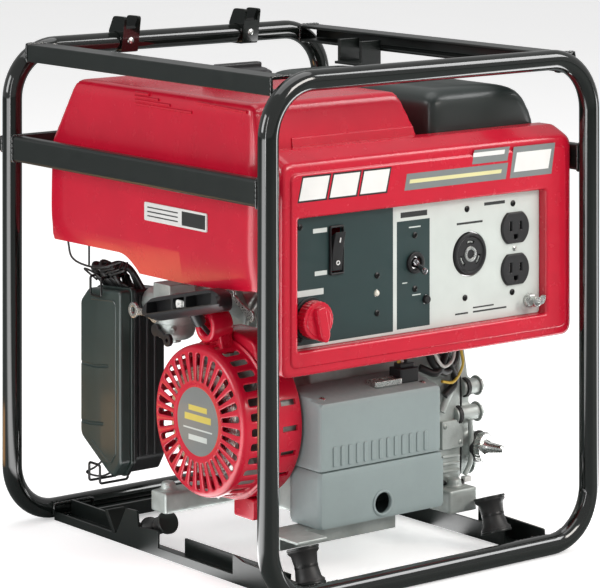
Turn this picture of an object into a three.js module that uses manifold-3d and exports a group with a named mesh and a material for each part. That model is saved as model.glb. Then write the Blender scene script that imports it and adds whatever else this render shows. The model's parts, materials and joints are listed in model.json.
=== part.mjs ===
// Open-frame portable generator with a frequency-converter box, in millimetres.
// +Z is up, -Y is the control-panel side and -X is the recoil-starter side.
// The origin is the centre of the whole object in plan, at the height of the floor.

import * as THREE from 'three';
import { mergeVertices } from 'three/addons/utils/BufferGeometryUtils.js';
import Module from 'manifold-3d';

const wasm = await Module();
wasm.setup();

// ---- Driving dimensions ----

const FIT = 0.3; // gap between pieces that touch

const TUBE_R = 9.55; // 3/4 inch frame tube
const LOOP_HALF_WIDTH = 192.5; // tube centre line
const LOOP_HEIGHT = 454; // bottom centre line to top centre line
const LOOP_BEND_R = 49;
const LOOP_Y = 203.2; // the two loops stand at +Y and -Y
const LOOP_TOP = TUBE_R + LOOP_HEIGHT;
const BETWEEN_LOOPS = LOOP_Y - TUBE_R - FIT; // half length of a bar between the loops

const TOP_BAR = { inner: 158, outer: 182, bottom: 451, top: 468, wall: 3 };
const MID_BAR = { inner: 186.5, outer: 198.5, bottom: 355, top: 380 };
const CROSSBAR = { halfWidth: 198, depth: 6, bottom: 363, top: 378 };

const RAIL = { outer: 150, inner: 128, lip: 8, web: 17, sheet: 2.5 };
const MOUNT = { height: 34, frontRadius: 15, rearRadius: 11, frontTilt: -19, rearTilt: 68 };

const CRANK_Y = -62;
const CRANK_Z = 142;
const SHAFT_R = 12;
const SHAFT_BORE_R = 12.7;

const PANEL = { left: -165, right: 184, bottom: 200, top: 398, front: -190, back: -152 };
const PLATE_Y = -180; // front face of the control plate
const PLATE_T = 2.5;
const WINDOW = { left: -148, right: 150, bottom: 223, top: 340 };
const ROCKER = { x: -98, z: 307, width: 13, height: 40, tilt: 9 };
const KNOB = { x: -128, z: 249, radius: 17, rest: -12 };
const LAMP = { x: -50, z: 263, radius: 3.2 };
const BREAKER = { x: -5, z: 286, radius: 6, tilt: 24 };
const RESET = { x: 8.5, z: 251, radius: 4 };
const TWIST_LOCK = { x: 62, z: 287, radius: 20.5 };
const DUPLEX = { x: 118, upper: 306, lower: 267.1, width: 34.1, height: 28.5 };
const GROUND = { x: 136, z: 236, radius: 3 };

const TANK = { left: -168, right: 25, front: -152, rear: 176, top: 438, floor: 298 };
const CAP = { x: -64, y: 10, radius: 33 };
const COVER = { left: 40, right: 176, front: -150, rear: 110, bottom: 300, top: 437 };

// Engine sizes are measured from the crankshaft axis.
const CYLINDER = { x: 36, lean: THREE.MathUtils.degToRad(25) };
const CRANKCASE = { left: -68, right: 112, neck: -100.7 };
const FILLER = { foot: [129, -52, -54], direction: [0.32, -0.95, 0], radius: 14 };
const HOUSING = { front: -131, back: -101, radius: 75, sheet: 3 };
const RECOIL = { front: -165, rim: 69, flange: 74, sheet: 2.5, post: 8, guideZ: 86 };

const CARB = { x: -108, y: 50, z: 232, flange: 33 };
const INTAKE = { x: CARB.x + CARB.flange + FIT, y: CARB.y - CRANK_Y, z: CARB.z - CRANK_Z };

// Pivots of the three levers, measured from the carburettor.
const CHOKE = { x: -34, y: -12, z: -10 };
const VALVE = { x: -24, y: 0, z: -27 };
const GOVERNOR = { x: 46, y: -56, z: -14 };

const CONVERTER = {
  left: -99, right: 44, front: -160, back: -113, bottom: 51, split: 103, top: 175, rise: 10, proud: 5,
};
const CLEANER = { front: 85, rear: 156, bottom: 58, top: 240, face: -146, seam: -131, back: -92 };

// ---- Materials ----

const paint = (color, roughness, metalness = 0) =>
  new THREE.MeshStandardMaterial({ color, roughness, metalness });

const BLACK_GLOSS = paint(0x141816, 0.2);
const BLACK_SATIN = paint(0x2c3634, 0.45);
const RED = paint(0xc81e30, 0.25);
const GREY_BLUE = paint(0x97a6a8, 0.5);
const CAST = paint(0xa7aba6, 0.45, 0.8);
const STEEL = paint(0xc9cbc8, 0.3, 0.9);
const RUBBER = paint(0x171717, 0.8);
const BLACK_PLASTIC = paint(0x161718, 0.4);
const GREEN_GREY = paint(0x4d605a, 0.5);
const PLATE_WHITE = paint(0xe2e4de, 0.4);
const COPPER = paint(0x9b5a34, 0.4, 0.7);
const FOAM = paint(0x40443c, 0.95);

// ---- Solids: every shape is a three.js geometry turned into a closed solid, faces out ----

function solid(geometry) {
  const bare = new THREE.BufferGeometry();
  const triangles = geometry.index ? geometry.toNonIndexed() : geometry;
  bare.setAttribute('position', triangles.getAttribute('position'));
  const merged = mergeVertices(bare, 1e-3);
  const triVerts = new Uint32Array(merged.index.array);
  const vertProperties = merged.getAttribute('position').array;
  const facing = new wasm.Manifold(new wasm.Mesh({ numProp: 3, vertProperties, triVerts }));
  if (facing.volume() > 0) return facing;
  for (let i = 0; i < triVerts.length; i += 3) {
    [triVerts[i + 1], triVerts[i + 2]] = [triVerts[i + 2], triVerts[i + 1]];
  }
  return new wasm.Manifold(new wasm.Mesh({ numProp: 3, vertProperties, triVerts }));
}

const union = (...solids) => solids.reduce((sum, next) => sum.add(next));
const cut = (body, ...tools) => tools.reduce((rest, tool) => rest.subtract(tool), body);

// A box from its low corner to its high corner.
function box([x0, y0, z0], [x1, y1, z1]) {
  const geometry = new THREE.BoxGeometry(x1 - x0, y1 - y0, z1 - z0);
  return solid(geometry.translate((x0 + x1) / 2, (y0 + y1) / 2, (z0 + z1) / 2));
}

// A cylinder between two points.
function rod(from, to, radius, sides = 16, endRadius = radius) {
  const a = new THREE.Vector3(...from);
  const along = new THREE.Vector3(...to).sub(a);
  const geometry = new THREE.CylinderGeometry(endRadius, radius, along.length(), sides);
  geometry.translate(0, along.length() / 2, 0);
  const up = new THREE.Vector3(0, 1, 0);
  const turn = new THREE.Quaternion().setFromUnitVectors(up, along.clone().normalize());
  return solid(geometry.applyQuaternion(turn).translate(a.x, a.y, a.z));
}

// An outline of corners [u, v, corner radius].
function outline(corners) {
  const shape = new THREE.Shape();
  corners.forEach(([u, v, r = 0], i) => {
    const here = new THREE.Vector2(u, v);
    const before = new THREE.Vector2(...corners.at(i - 1).slice(0, 2));
    const after = new THREE.Vector2(...corners[(i + 1) % corners.length].slice(0, 2));
    const start = here.clone().add(before.sub(here).setLength(r));
    const end = here.clone().add(after.sub(here).setLength(r));
    if (i) shape.lineTo(start.x, start.y);
    else shape.moveTo(start.x, start.y);
    if (r) shape.quadraticCurveTo(u, v, end.x, end.y);
  });
  return shape;
}

const disc = (u, v, radius) => new THREE.Shape().absarc(u, v, radius, 0, Math.PI * 2);
const rectangle = (u0, v0, u1, v1, r = 0) => outline([[u0, v0, r], [u1, v0, r], [u1, v1, r], [u0, v1, r]]);

// A shape pushed along an axis; its (u, v) are (y, z) for x, (x, z) for y and (x, y) for z.
function prism(axis, shape, from, to, curveSegments = 4) {
  const geometry = new THREE.ExtrudeGeometry(shape, { depth: to - from, bevelEnabled: false, curveSegments });
  const turns = {
    x: new THREE.Matrix4().set(0, 0, 1, from, 1, 0, 0, 0, 0, 1, 0, 0, 0, 0, 0, 1),
    y: new THREE.Matrix4().set(1, 0, 0, 0, 0, 0, -1, to, 0, 1, 0, 0, 0, 0, 0, 1),
    z: new THREE.Matrix4().makeTranslation(0, 0, from),
  };
  return solid(geometry.applyMatrix4(turns[axis]));
}

// A profile of [distance along the axis, radius] turned about the x axis.
function turned(profile, sides = 32) {
  const points = profile.map(([along, radius]) => new THREE.Vector2(radius, along));
  const geometry = new THREE.LatheGeometry(points, sides).rotateZ(-Math.PI / 2);
  return solid(geometry);
}

const ring = (from, to, outer, inner, sides = 32) =>
  turned([[from, inner], [from, outer], [to, outer], [to, inner], [from, inner]], sides);

// Copies of a solid turned about an axis through the origin.
function around(body, count, axis = 'x') {
  const step = 360 / count;
  const turnBy = (angle) => ({ x: [angle, 0, 0], y: [0, angle, 0], z: [0, 0, angle] })[axis];
  return Array.from({ length: count }, (_, i) => body.rotate(turnBy(i * step)));
}

// A path of straight runs joined by round bends, sampled only where it bends.
class BentPath extends THREE.Curve {
  constructor(corners, bendRadius, bendSteps = 5) {
    super();
    this.stations = [];
    const points = corners.map((corner) => new THREE.Vector3(...corner));
    points.forEach((corner, i) => {
      const before = points[i - 1];
      const after = points[i + 1];
      if (!before || !after) {
        const other = before || after;
        const tangent = before ? corner.clone().sub(other) : other.clone().sub(corner);
        this.stations.push({ point: corner, tangent: tangent.normalize() });
        return;
      }
      const into = corner.clone().sub(before).normalize();
      const out = after.clone().sub(corner).normalize();
      const bend = into.angleTo(out);
      const setback = bendRadius * Math.tan(bend / 2);
      const start = corner.clone().addScaledVector(into, -setback);
      const normal = out.clone().addScaledVector(into, -Math.cos(bend)).normalize();
      for (let k = 0; k <= bendSteps; k += 1) {
        const angle = (bend * k) / bendSteps;
        const point = start.clone()
          .addScaledVector(into, bendRadius * Math.sin(angle))
          .addScaledVector(normal, bendRadius * (1 - Math.cos(angle)));
        const tangent = into.clone().multiplyScalar(Math.cos(angle)).addScaledVector(normal, Math.sin(angle));
        this.stations.push({ point, tangent });
      }
    });
  }

  get steps() {
    return this.stations.length - 1;
  }

  getPointAt(u) {
    return this.stations[Math.round(u * this.steps)].point.clone();
  }

  getTangentAt(u) {
    return this.stations[Math.round(u * this.steps)].tangent.clone();
  }
}

function bentRod(corners, bendRadius, radius, sides = 12, bendSteps = 5) {
  const path = new BentPath(corners, bendRadius, bendSteps);
  const section = new THREE.Shape().absarc(0, 0, radius, 0, Math.PI * 2);
  const settings = { extrudePath: path, steps: path.steps, curveSegments: sides / 2 };
  return solid(new THREE.ExtrudeGeometry(section, settings));
}

// A hexagon-headed bolt standing on a point, along an axis vector.
function hexBolt(at, direction, acrossFlats, headHeight) {
  const foot = new THREE.Vector3(...at);
  const top = foot.clone().addScaledVector(new THREE.Vector3(...direction).normalize(), headHeight);
  return rod(foot.toArray(), top.toArray(), acrossFlats / Math.sqrt(3), 6);
}

// ---- Scene graph ----

// Everything is drawn about the middle of the two loops. The crossbar stands out at the rear only,
// so the object's centre in plan lies half of that overhang behind it.
const generator = new THREE.Group();
generator.position.y = -(FIT + CROSSBAR.depth) / 2;

function group(x = 0, y = 0, z = 0) {
  const made = new THREE.Group();
  made.position.set(x, y, z);
  generator.add(made);
  return made;
}

function part(parent, name, body, material) {
  const { vertProperties, triVerts } = body.getMesh();
  const geometry = new THREE.BufferGeometry();
  geometry.setAttribute('position', new THREE.BufferAttribute(Float32Array.from(vertProperties), 3));
  geometry.setIndex(new THREE.BufferAttribute(Uint32Array.from(triVerts), 1));
  geometry.computeVertexNormals();
  const mesh = new THREE.Mesh(geometry, material);
  mesh.name = name;
  parent.add(mesh);
  return mesh;
}

// ---- Tube frame ----

const frame = group();

// One loop, drawn in the plane y = 0: two mirrored halves that meet at the bottom and top centres.
function tubeLoop() {
  const lap = 0.5;
  const half = bentRod(
    [[lap, 0, TUBE_R], [-LOOP_HALF_WIDTH, 0, TUBE_R], [-LOOP_HALF_WIDTH, 0, LOOP_TOP], [lap, 0, LOOP_TOP]],
    LOOP_BEND_R, TUBE_R, 12, 5,
  );
  return union(half, half.mirror([1, 0, 0]));
}

// A channel between the loops, open towards the middle of the frame.
function topBar() {
  const { inner, outer, bottom, top, wall } = TOP_BAR;
  const channel = box([-outer, -BETWEEN_LOOPS, bottom], [-inner, BETWEEN_LOOPS, top]);
  const hollow = box([-outer + wall, -LOOP_Y, bottom + wall], [-inner + 1, LOOP_Y, top - wall]);
  return cut(channel, hollow);
}

function midBar() {
  const { inner, outer, bottom, top } = MID_BAR;
  return prism('y', rectangle(-outer, bottom, -inner, top, 2), -BETWEEN_LOOPS, BETWEEN_LOOPS, 1);
}

// A bottom rail: outer lip, floor and taller inner web, with a standing plate at each engine mount.
function rail() {
  const { outer, inner, lip, web, sheet } = RAIL;
  const floor = box([-outer, -BETWEEN_LOOPS, 0], [-inner, BETWEEN_LOOPS, sheet]);
  const outerLip = box([-outer, -BETWEEN_LOOPS, 0], [-outer + sheet, BETWEEN_LOOPS, lip]);
  const innerWeb = box([-inner - sheet, -BETWEEN_LOOPS, 0], [-inner, BETWEEN_LOOPS, web]);
  const rearSide = outline([[20, 1], [92, 1], [72, 35, 2], [54, 36, 2], [52, 21, 2], [20, 24, 2]]);
  const rearPlate = prism('x', rearSide, -outer, -outer + sheet, 2);
  const stiffenerSide = outline([[88, 1], [93, 1], [110, 26, 1], [105, 27, 1]]);
  const stiffener = prism('x', stiffenerSide, -outer + sheet - 0.5, -inner, 1);
  const frontSide = outline([[-96, 1], [-96, 26, 2], [-112, 22, 2], [-188, 20, 2], [-188, 1]]);
  const frontPlate = prism('x', frontSide, -outer, -outer + sheet, 2);
  const frontShelf = box([-inner - 10, -190, 0], [-104, -156, sheet]);
  const mountRoom = box([-inner - sheet - 1, 4, sheet], [-inner + 1, 66, web + 1]);
  const frontRoom = box([-inner - sheet - 1, -192, sheet], [-inner + 1, -154, web + 1]);
  const body = union(floor, outerLip, innerWeb, rearPlate, stiffener, frontPlate, frontShelf);
  return cut(body, mountRoom, frontRoom);
}

function rearBasePlate() {
  const inner = RAIL.inner - FIT;
  const plate = box([-inner, 150, 3], [inner, BETWEEN_LOOPS, 6]);
  const lip = box([-inner, 150, 3], [inner, 153, 16]);
  const hole = (x) => rod([x, 172, 0], [x, 172, 10], 5, 12);
  return cut(union(plate, lip), hole(-100), hole(-70), hole(70), hole(100));
}

// A bracket that saddles the rear top tube and ends in two ears leaning to the front.
function stackingLug(x) {
  const halfWidth = 10;
  const sheet = 3;
  const side = outline([
    [193, 453, 2], [215, 453, 2], [215, 474, 2], [207, 489, 3], [187, 489, 3], [190, 470, 2],
  ]);
  const body = prism('x', side, x - halfWidth, x + halfWidth, 2);
  const slot = box([x - halfWidth + sheet, 180, 477], [x + halfWidth - sheet, 220, 500]);
  const tube = rod([x - 30, LOOP_Y, LOOP_TOP], [x + 30, LOOP_Y, LOOP_TOP], TUBE_R + FIT * 2, 16);
  return cut(body, slot, tube);
}

// A spool-shaped rubber engine mount standing on its lower flange, tilted about the x axis.
function rubberMount([x, y, bottom], radius, tilt) {
  const flange = 3;
  const { height } = MOUNT;
  const spool = turned([
    [0, 0], [0, radius], [flange, radius], [flange + 3, radius * 0.74], [height / 2, radius * 0.68],
    [height - flange - 3, radius * 0.74], [height - flange, radius], [height, radius], [height, 0],
  ], 14);
  return spool.rotate([0, -90, 0]).rotate([tilt, 0, 0]).translate([x, y, bottom]);
}

part(frame, 'front_loop', tubeLoop().translate([0, -LOOP_Y, 0]), BLACK_GLOSS);
part(frame, 'rear_loop', tubeLoop().translate([0, LOOP_Y, 0]), BLACK_GLOSS);
part(frame, 'left_top_bar', topBar(), BLACK_SATIN);
part(frame, 'right_top_bar', topBar().mirror([1, 0, 0]), BLACK_SATIN);
part(frame, 'left_mid_bar', midBar(), BLACK_SATIN);
part(frame, 'right_mid_bar', midBar().mirror([1, 0, 0]), BLACK_SATIN);
const crossbarFront = LOOP_Y + TUBE_R + FIT;
part(frame, 'rear_crossbar', box(
  [-CROSSBAR.halfWidth, crossbarFront, CROSSBAR.bottom],
  [CROSSBAR.halfWidth, crossbarFront + CROSSBAR.depth, CROSSBAR.top],
), BLACK_SATIN);
part(frame, 'left_rail', rail(), BLACK_SATIN);
part(frame, 'right_rail', rail().mirror([1, 0, 0]), BLACK_SATIN);
part(frame, 'rear_base_plate', rearBasePlate(), BLACK_SATIN);
part(frame, 'left_stacking_lug', stackingLug(-60), BLACK_GLOSS);
part(frame, 'right_stacking_lug', stackingLug(91), BLACK_GLOSS);

const { frontRadius, rearRadius, frontTilt, rearTilt } = MOUNT;
part(frame, 'mount_front_left', rubberMount([-121, -172, 9], frontRadius, frontTilt), RUBBER);
part(frame, 'mount_front_right', rubberMount([112, -162, 17], frontRadius, frontTilt), RUBBER);
part(frame, 'mount_rear_left', rubberMount([-136, 53, 17], rearRadius, rearTilt), RUBBER);
part(frame, 'mount_rear_right', rubberMount([136, 53, 17], rearRadius, rearTilt), RUBBER);

// ---- Control panel ----

const panel = group(0, PLATE_Y, 0);

// An open-backed box with a chamfered top, a raised rim and a window for the control plate.
function panelBox() {
  const { left, right, bottom, top, front, back } = PANEL;
  const wall = 3;
  const side = outline([
    [front - PLATE_Y, bottom, 4], [back - PLATE_Y, bottom, 2], [back - PLATE_Y, top, 5],
    [front + 22 - PLATE_Y, top, 5], [front - PLATE_Y, top - 10, 5],
  ]);
  const face = rectangle(left, bottom, right, top, 8);
  const shell = prism('x', side, left, right).intersect(prism('y', face, front - PLATE_Y, back - PLATE_Y));
  const room = rectangle(left + wall, bottom + wall, right - wall, top - wall - 8, 6);
  const inside = prism('y', room, PLATE_T + FIT, 60);
  const window = prism('y', rectangle(WINDOW.left, WINDOW.bottom, WINDOW.right, WINDOW.top, 4), -40, 1);
  const throat = prism('y', rectangle(WINDOW.left, WINDOW.bottom, WINDOW.right, WINDOW.top, 4), 0, 20);
  return cut(shell, inside, window, throat);
}

// The duplex face is a circle with flat top and bottom.
function duplexOutline(z, grow = 0) {
  const halfHeight = DUPLEX.height / 2 + grow;
  const radius = DUPLEX.width / 2 + grow;
  const corner = Math.asin(halfHeight / radius);
  const shape = new THREE.Shape();
  shape.absarc(DUPLEX.x, z, radius, -corner, corner);
  shape.absarc(DUPLEX.x, z, radius, Math.PI - corner, Math.PI + corner);
  return shape;
}

function facePlate() {
  const gap = FIT;
  const { left, right, bottom, top } = WINDOW;
  const plate = prism('y', rectangle(left + gap, bottom + gap, right - gap, top - gap, 4), 0, PLATE_T);
  const bezel = prism('y', rectangle(ROCKER.x - 8, ROCKER.z - 22, ROCKER.x + 8, ROCKER.z + 22, 1), -3, 1);
  const bushing = prism('y', disc(BREAKER.x, BREAKER.z, BREAKER.radius + 2), -2.5, 1, 6);
  const knobSeat = prism('y', disc(KNOB.x, KNOB.z, KNOB.radius + 2), -2, 1, 8);
  const through = (shape) => prism('y', shape, -5, PLATE_T + 1, 6);
  const rockerSlot = rectangle(
    ROCKER.x - ROCKER.width / 2, ROCKER.z - ROCKER.height / 2,
    ROCKER.x + ROCKER.width / 2, ROCKER.z + ROCKER.height / 2,
  );
  return cut(
    union(plate, bezel, bushing, knobSeat),
    through(rockerSlot),
    through(disc(BREAKER.x, BREAKER.z, BREAKER.radius)),
    through(disc(KNOB.x, KNOB.z, 4.2)),
    through(disc(LAMP.x, LAMP.z, LAMP.radius + FIT)),
    through(disc(RESET.x, RESET.z, RESET.radius + FIT)),
    through(disc(TWIST_LOCK.x, TWIST_LOCK.z, TWIST_LOCK.radius + FIT)),
    through(duplexOutline(DUPLEX.upper, FIT)),
    through(duplexOutline(DUPLEX.lower, FIT)),
    through(disc(GROUND.x, GROUND.z, GROUND.radius + FIT)),
  );
}

// A see-saw switch cap with its pivot on the plate face; it rests with its lower end in.
function rockerSwitch() {
  const halfHeight = ROCKER.height / 2 - 1.6;
  const halfWidth = ROCKER.width / 2 - 0.5;
  const profile = outline([[-5, -halfHeight], [-3.2, 0], [-5, halfHeight], [9, 6], [9, -6]]);
  const cap = prism('x', profile, -halfWidth, halfWidth, 2);
  return cap.rotate([ROCKER.tilt, 0, 0]).translate([ROCKER.x, 0, ROCKER.z]);
}

// A round knob with a raised grip that ends in a pointer, on a short spindle.
function engineKnob() {
  const body = prism('y', disc(0, 0, KNOB.radius), -15, -2.5, 10);
  const pointer = outline([[-5, 13, 2], [5, 13, 2], [5, -15, 1], [0, -20.5, 1], [-5, -15, 1]]);
  const grip = prism('y', pointer, -21, -6, 2);
  const spindle = prism('y', disc(0, 0, 3.8), -4, 14, 6);
  return union(body, grip, spindle).rotate([0, KNOB.rest, 0]).translate([KNOB.x, 0, KNOB.z]);
}

const indicatorLamp = () => {
  const { x, z, radius } = LAMP;
  return rod([x, 12, z], [x, -1.5, z], radius, 12, radius * 0.8);
};

// A toggle lever on a ball; it rests pointing down, in its off position.
function breakerToggle() {
  const ball = solid(new THREE.SphereGeometry(4.6, 12, 8));
  const lever = rod([0, 0, 0], [0, -17, 0], 2, 10, 3.2);
  const tail = rod([0, 0, 0], [0, 9, 0], 2.2, 8);
  return union(ball, lever, tail).rotate([BREAKER.tilt, 0, 0]).translate([BREAKER.x, 0, BREAKER.z]);
}

const resetButton = () => rod([RESET.x, 10, RESET.z], [RESET.x, -3, RESET.z], RESET.radius, 12);

// A round twist-lock outlet with three curved slots about a centre post.
function twistLockOutlet() {
  const { x, z, radius } = TWIST_LOCK;
  const body = rod([x, 24, z], [x, -2, z], radius - FIT * 2, 20);
  const slot = (angle) => {
    const arc = new THREE.Shape();
    const half = 0.42;
    arc.absarc(x, z, 12.6, angle - half, angle + half);
    arc.absarc(x, z, 10.2, angle + half, angle - half, true);
    return prism('y', arc, -5, 10, 2);
  };
  return cut(body, ...[90, 210, 330].map((degrees) => slot(THREE.MathUtils.degToRad(degrees))));
}

function duplexOutlet(z) {
  const body = prism('y', duplexOutline(z), -2.5, 22, 4);
  const blade = (dx, tall) => box(
    [DUPLEX.x + dx - 1.1, -4, z + 2 - tall / 2],
    [DUPLEX.x + dx + 1.1, 12, z + 2 + tall / 2],
  );
  const earth = rod([DUPLEX.x, -4, z - 8], [DUPLEX.x, 12, z - 8], 2.5, 12);
  return cut(body, blade(-6.3, 9), blade(6.3, 7.5), earth);
}

function groundStud() {
  const { x, z, radius } = GROUND;
  const shank = rod([x, 10, z], [x, -17, z], radius, 12);
  const washer = rod([x, -0.3, z], [x, -2, z], radius * 2.3, 12);
  const nut = rod([x, -1.5, z], [x, -5.5, z], 6.2, 6);
  return union(shank, washer, nut);
}

function wingNut() {
  const { x, z, radius } = GROUND;
  const hub = rod([x, -6, z], [x, -13, z], 5, 14, 4);
  const wing = prism('y', outline([[3, -3], [12, -2, 2], [13, 5, 2], [9, 5, 2], [3, 2]]), -10, -7.6, 2);
  const wings = union(wing.translate([x, 0, z]), wing.mirror([1, 0, 0]).translate([x, 0, z]));
  return cut(union(hub, wings), rod([x, 0, z], [x, -20, z], radius + FIT, 12));
}

part(panel, 'panel_box', panelBox(), RED);
part(panel, 'face_plate', facePlate(), PLATE_WHITE);
part(panel, 'rocker_switch', rockerSwitch(), BLACK_PLASTIC);
part(panel, 'engine_knob', engineKnob(), RED);
part(panel, 'indicator_lamp', indicatorLamp(), PLATE_WHITE);
part(panel, 'breaker_toggle', breakerToggle(), STEEL);
part(panel, 'reset_button', resetButton(), BLACK_PLASTIC);
part(panel, 'twist_lock_outlet', twistLockOutlet(), BLACK_PLASTIC);
part(panel, 'upper_outlet', duplexOutlet(DUPLEX.upper), BLACK_PLASTIC);
part(panel, 'lower_outlet', duplexOutlet(DUPLEX.lower), BLACK_PLASTIC);
part(panel, 'ground_stud', groundStud(), STEEL);
part(panel, 'ground_wing_nut', wingNut(), STEEL);

// ---- Fuel tank and muffler cover ----

const upper = group();

// A moulded tank: side, front and plan outlines crossed, with a skirt round the left and front.
function fuelTank() {
  const { left, right, front, rear, top, floor } = TANK;
  const side = prism('x', outline([
    [front, 271, 3], [-60, 263, 20], [38, 263, 10], [56, 280, 10], [rear - 1, 279, 8], [rear, 372, 8],
    [134, top, 8], [-143, top, 10], [front, 396, 14],
  ]), left - 5, right + 5, 4);
  const face = prism('y', outline([
    [left + 15, 250], [right, 250], [right, 395, 4], [5, top + 1, 12], [left + 8, top + 1, 1],
    [left + 3, top - 4, 1], [left, 300, 2],
  ]), front - 5, rear + 5, 4);
  const above = outline([[left, front, 22], [right, front, 8], [right, rear, 6], [left, rear, 6]]);
  const plan = prism('z', above, 240, top + 5, 4);
  const outer = side.intersect(face).intersect(plan);
  const wall = 4;
  const engineRoom = rectangle(left + wall + 12, front + wall, right + 5, rear - wall, 14);
  const engineSpace = prism('z', engineRoom, 230, floor, 3);
  const rightSkirt = box([-40, front - 5, 230], [right + 5, rear + 5, floor]);
  const rearSkirt = box([left + 50, 60, 230], [right + 5, rear + 5, floor]);
  const fuel = prism('x', outline([
    [front + 16, floor + 10, 8], [rear - 18, floor + 10, 8], [rear - 14, 345, 12], [112, 424, 14],
    [-132, 424, 8],
  ]), left + 20, -6, 2);
  const mouth = rod([CAP.x, CAP.y, 400], [CAP.x, CAP.y, 460], 24, 20);
  const neck = rod([CAP.x, CAP.y, top - 2], [CAP.x, CAP.y, top + 7], 28, 20);
  return cut(union(outer, neck), engineSpace, rightSkirt, rearSkirt, fuel, mouth);
}

function fuelStrainer() {
  const basket = rod([0, 0, -46], [0, 0, 6.5], 21, 16, 23.2);
  const hollow = rod([0, 0, -44], [0, 0, 10], 19.5, 16, 21.7);
  const slots = around(box([10, -1.5, -38], [30, 1.5, -8]), 8, 'z');
  return cut(basket, hollow, ...slots).translate([CAP.x, CAP.y, TANK.top]);
}

// A ribbed cap that covers the neck, with a flat grip bar across its top.
function fuelCap() {
  const skirt = rod([0, 0, 1], [0, 0, 14], CAP.radius, 24, CAP.radius - 2);
  const crown = rod([0, 0, 14], [0, 0, 17], CAP.radius - 2, 24, CAP.radius - 10);
  const grip = box([-CAP.radius + 6, -4, 14], [CAP.radius - 6, 4, 19]);
  const inside = rod([0, 0, 0], [0, 0, 8], 29, 20);
  return cut(union(skirt, crown, grip), inside).translate([CAP.x, CAP.y, TANK.top]);
}

// A sheet-metal shroud over the muffler, open below.
function mufflerCover() {
  const { left, right, front, rear, bottom, top } = COVER;
  const sheet = 2;
  const shroud = (inset) => {
    const face = prism('y', outline([
      [left + inset, bottom - inset], [right - inset, bottom - inset], [right - inset, 395, 10],
      [148 - inset, top - inset, 20], [left + inset, top - inset, 16],
    ]), front - 5, rear + 5, 4);
    const side = prism('x', outline([
      [front + inset, bottom - inset * 2], [rear - inset, bottom - inset * 2],
      [rear - inset, top - inset, 26], [front + inset, top - inset, 18],
    ]), left - 5, right + 5, 4);
    return face.intersect(side);
  };
  const slots = [-90, -60, -30, 0, 30, 60].map((y) => box([right - 20, y - 9, 340], [right + 5, y + 9, 346]));
  return cut(shroud(0), shroud(sheet), ...slots);
}

function muffler() {
  const shell = rod([115, -112, 365], [115, 78, 365], 46, 24);
  const inlet = bentRod([[115, 60, 330], [115, 60, 262], [92, 60, 262], [92, 60, 250]], 10, 11, 10, 2);
  const outlet = rod([135, 70, 378], [135, 100, 378], 10, 12);
  return union(shell, inlet, outlet);
}

// A stay from the right top bar down to the muffler cover.
function mufflerStay() {
  const hanger = (y) => box([132, y - 2, COVER.top + 1], [157.5, y + 2, 462]);
  const shoe = box([128, 62, COVER.top + FIT], [157.5, 100, COVER.top + 3]);
  return union(shoe, hanger(64), hanger(98));
}

part(upper, 'fuel_tank', fuelTank(), RED);
part(upper, 'fuel_strainer', fuelStrainer(), STEEL);
part(upper, 'fuel_cap', fuelCap(), BLACK_PLASTIC);
part(upper, 'muffler_cover', mufflerCover(), BLACK_GLOSS);
part(upper, 'muffler', muffler(), CAST);
part(upper, 'muffler_stay', mufflerStay(), BLACK_SATIN);

// ---- Engine: the group's x axis is the crankshaft ----

const engine = group(0, CRANK_Y, CRANK_Z);

// The cylinder leans back over the crankcase; axisPoint measures along it from the crankcase.

function axisPoint(along, above = 0) {
  const { x, lean } = CYLINDER;
  const y = 20 + along * Math.cos(lean) - above * Math.sin(lean);
  return [x, y, 12 + along * Math.sin(lean) + above * Math.cos(lean)];
}

function crankcase() {
  const { left, right, neck } = CRANKCASE;
  const profile = outline([
    [-49, -95, 14], [70, -95, 14], [76, -20, 12], [58, 52, 12], [-38, 58, 16], [-50, 10, 16],
  ]);
  const body = prism('x', profile, left, right, 2);
  const barrel = rod(axisPoint(0), axisPoint(115.6), 41, 12);
  const fins = [64, 78, 92, 106].map((reach) => rod(axisPoint(reach), axisPoint(reach + 4), 54, 12));
  const foot = (x0, x1, y0, y1, z0, z1) => box([x0, y0, z0], [x1, y1, z1]);
  const feet = [
    foot(-148, -60, 72, 96, -102, -82), foot(100, 148, 72, 96, -102, -82), foot(76, 111, -74, -40, -108, -86),
    foot(left, right, 60, 96, -102, -80),
  ];
  const bolts = [
    hexBolt([-136, 84, -82.5], [0, 0, 1], 13, 8), hexBolt([136, 84, -82.5], [0, 0, 1], 13, 8),
    hexBolt([94, -60, -86.5], [0, 0, 1], 13, 8),
  ];
  const neckTube = rod([neck, 0, 0], [left + 1, 0, 0], 48, 18);
  const neckBore = rod([neck - 1, 0, 0], [left, 0, 0], 34, 18);
  const crankRoom = rod([-30, 0, 0], [120, 0, 0], 46, 18);
  const shaftBore = rod([-80, 0, 0], [0, 0, 0], SHAFT_BORE_R, 18);
  return cut(union(body, barrel, ...fins, ...feet, ...bolts, neckTube), crankRoom, shaftBore, neckBore);
}

// The oil filler points forwards and a little to the right.
function fillerPoint(distance) {
  return FILLER.foot.map((value, i) => value + FILLER.direction[i] * distance);
}

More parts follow.
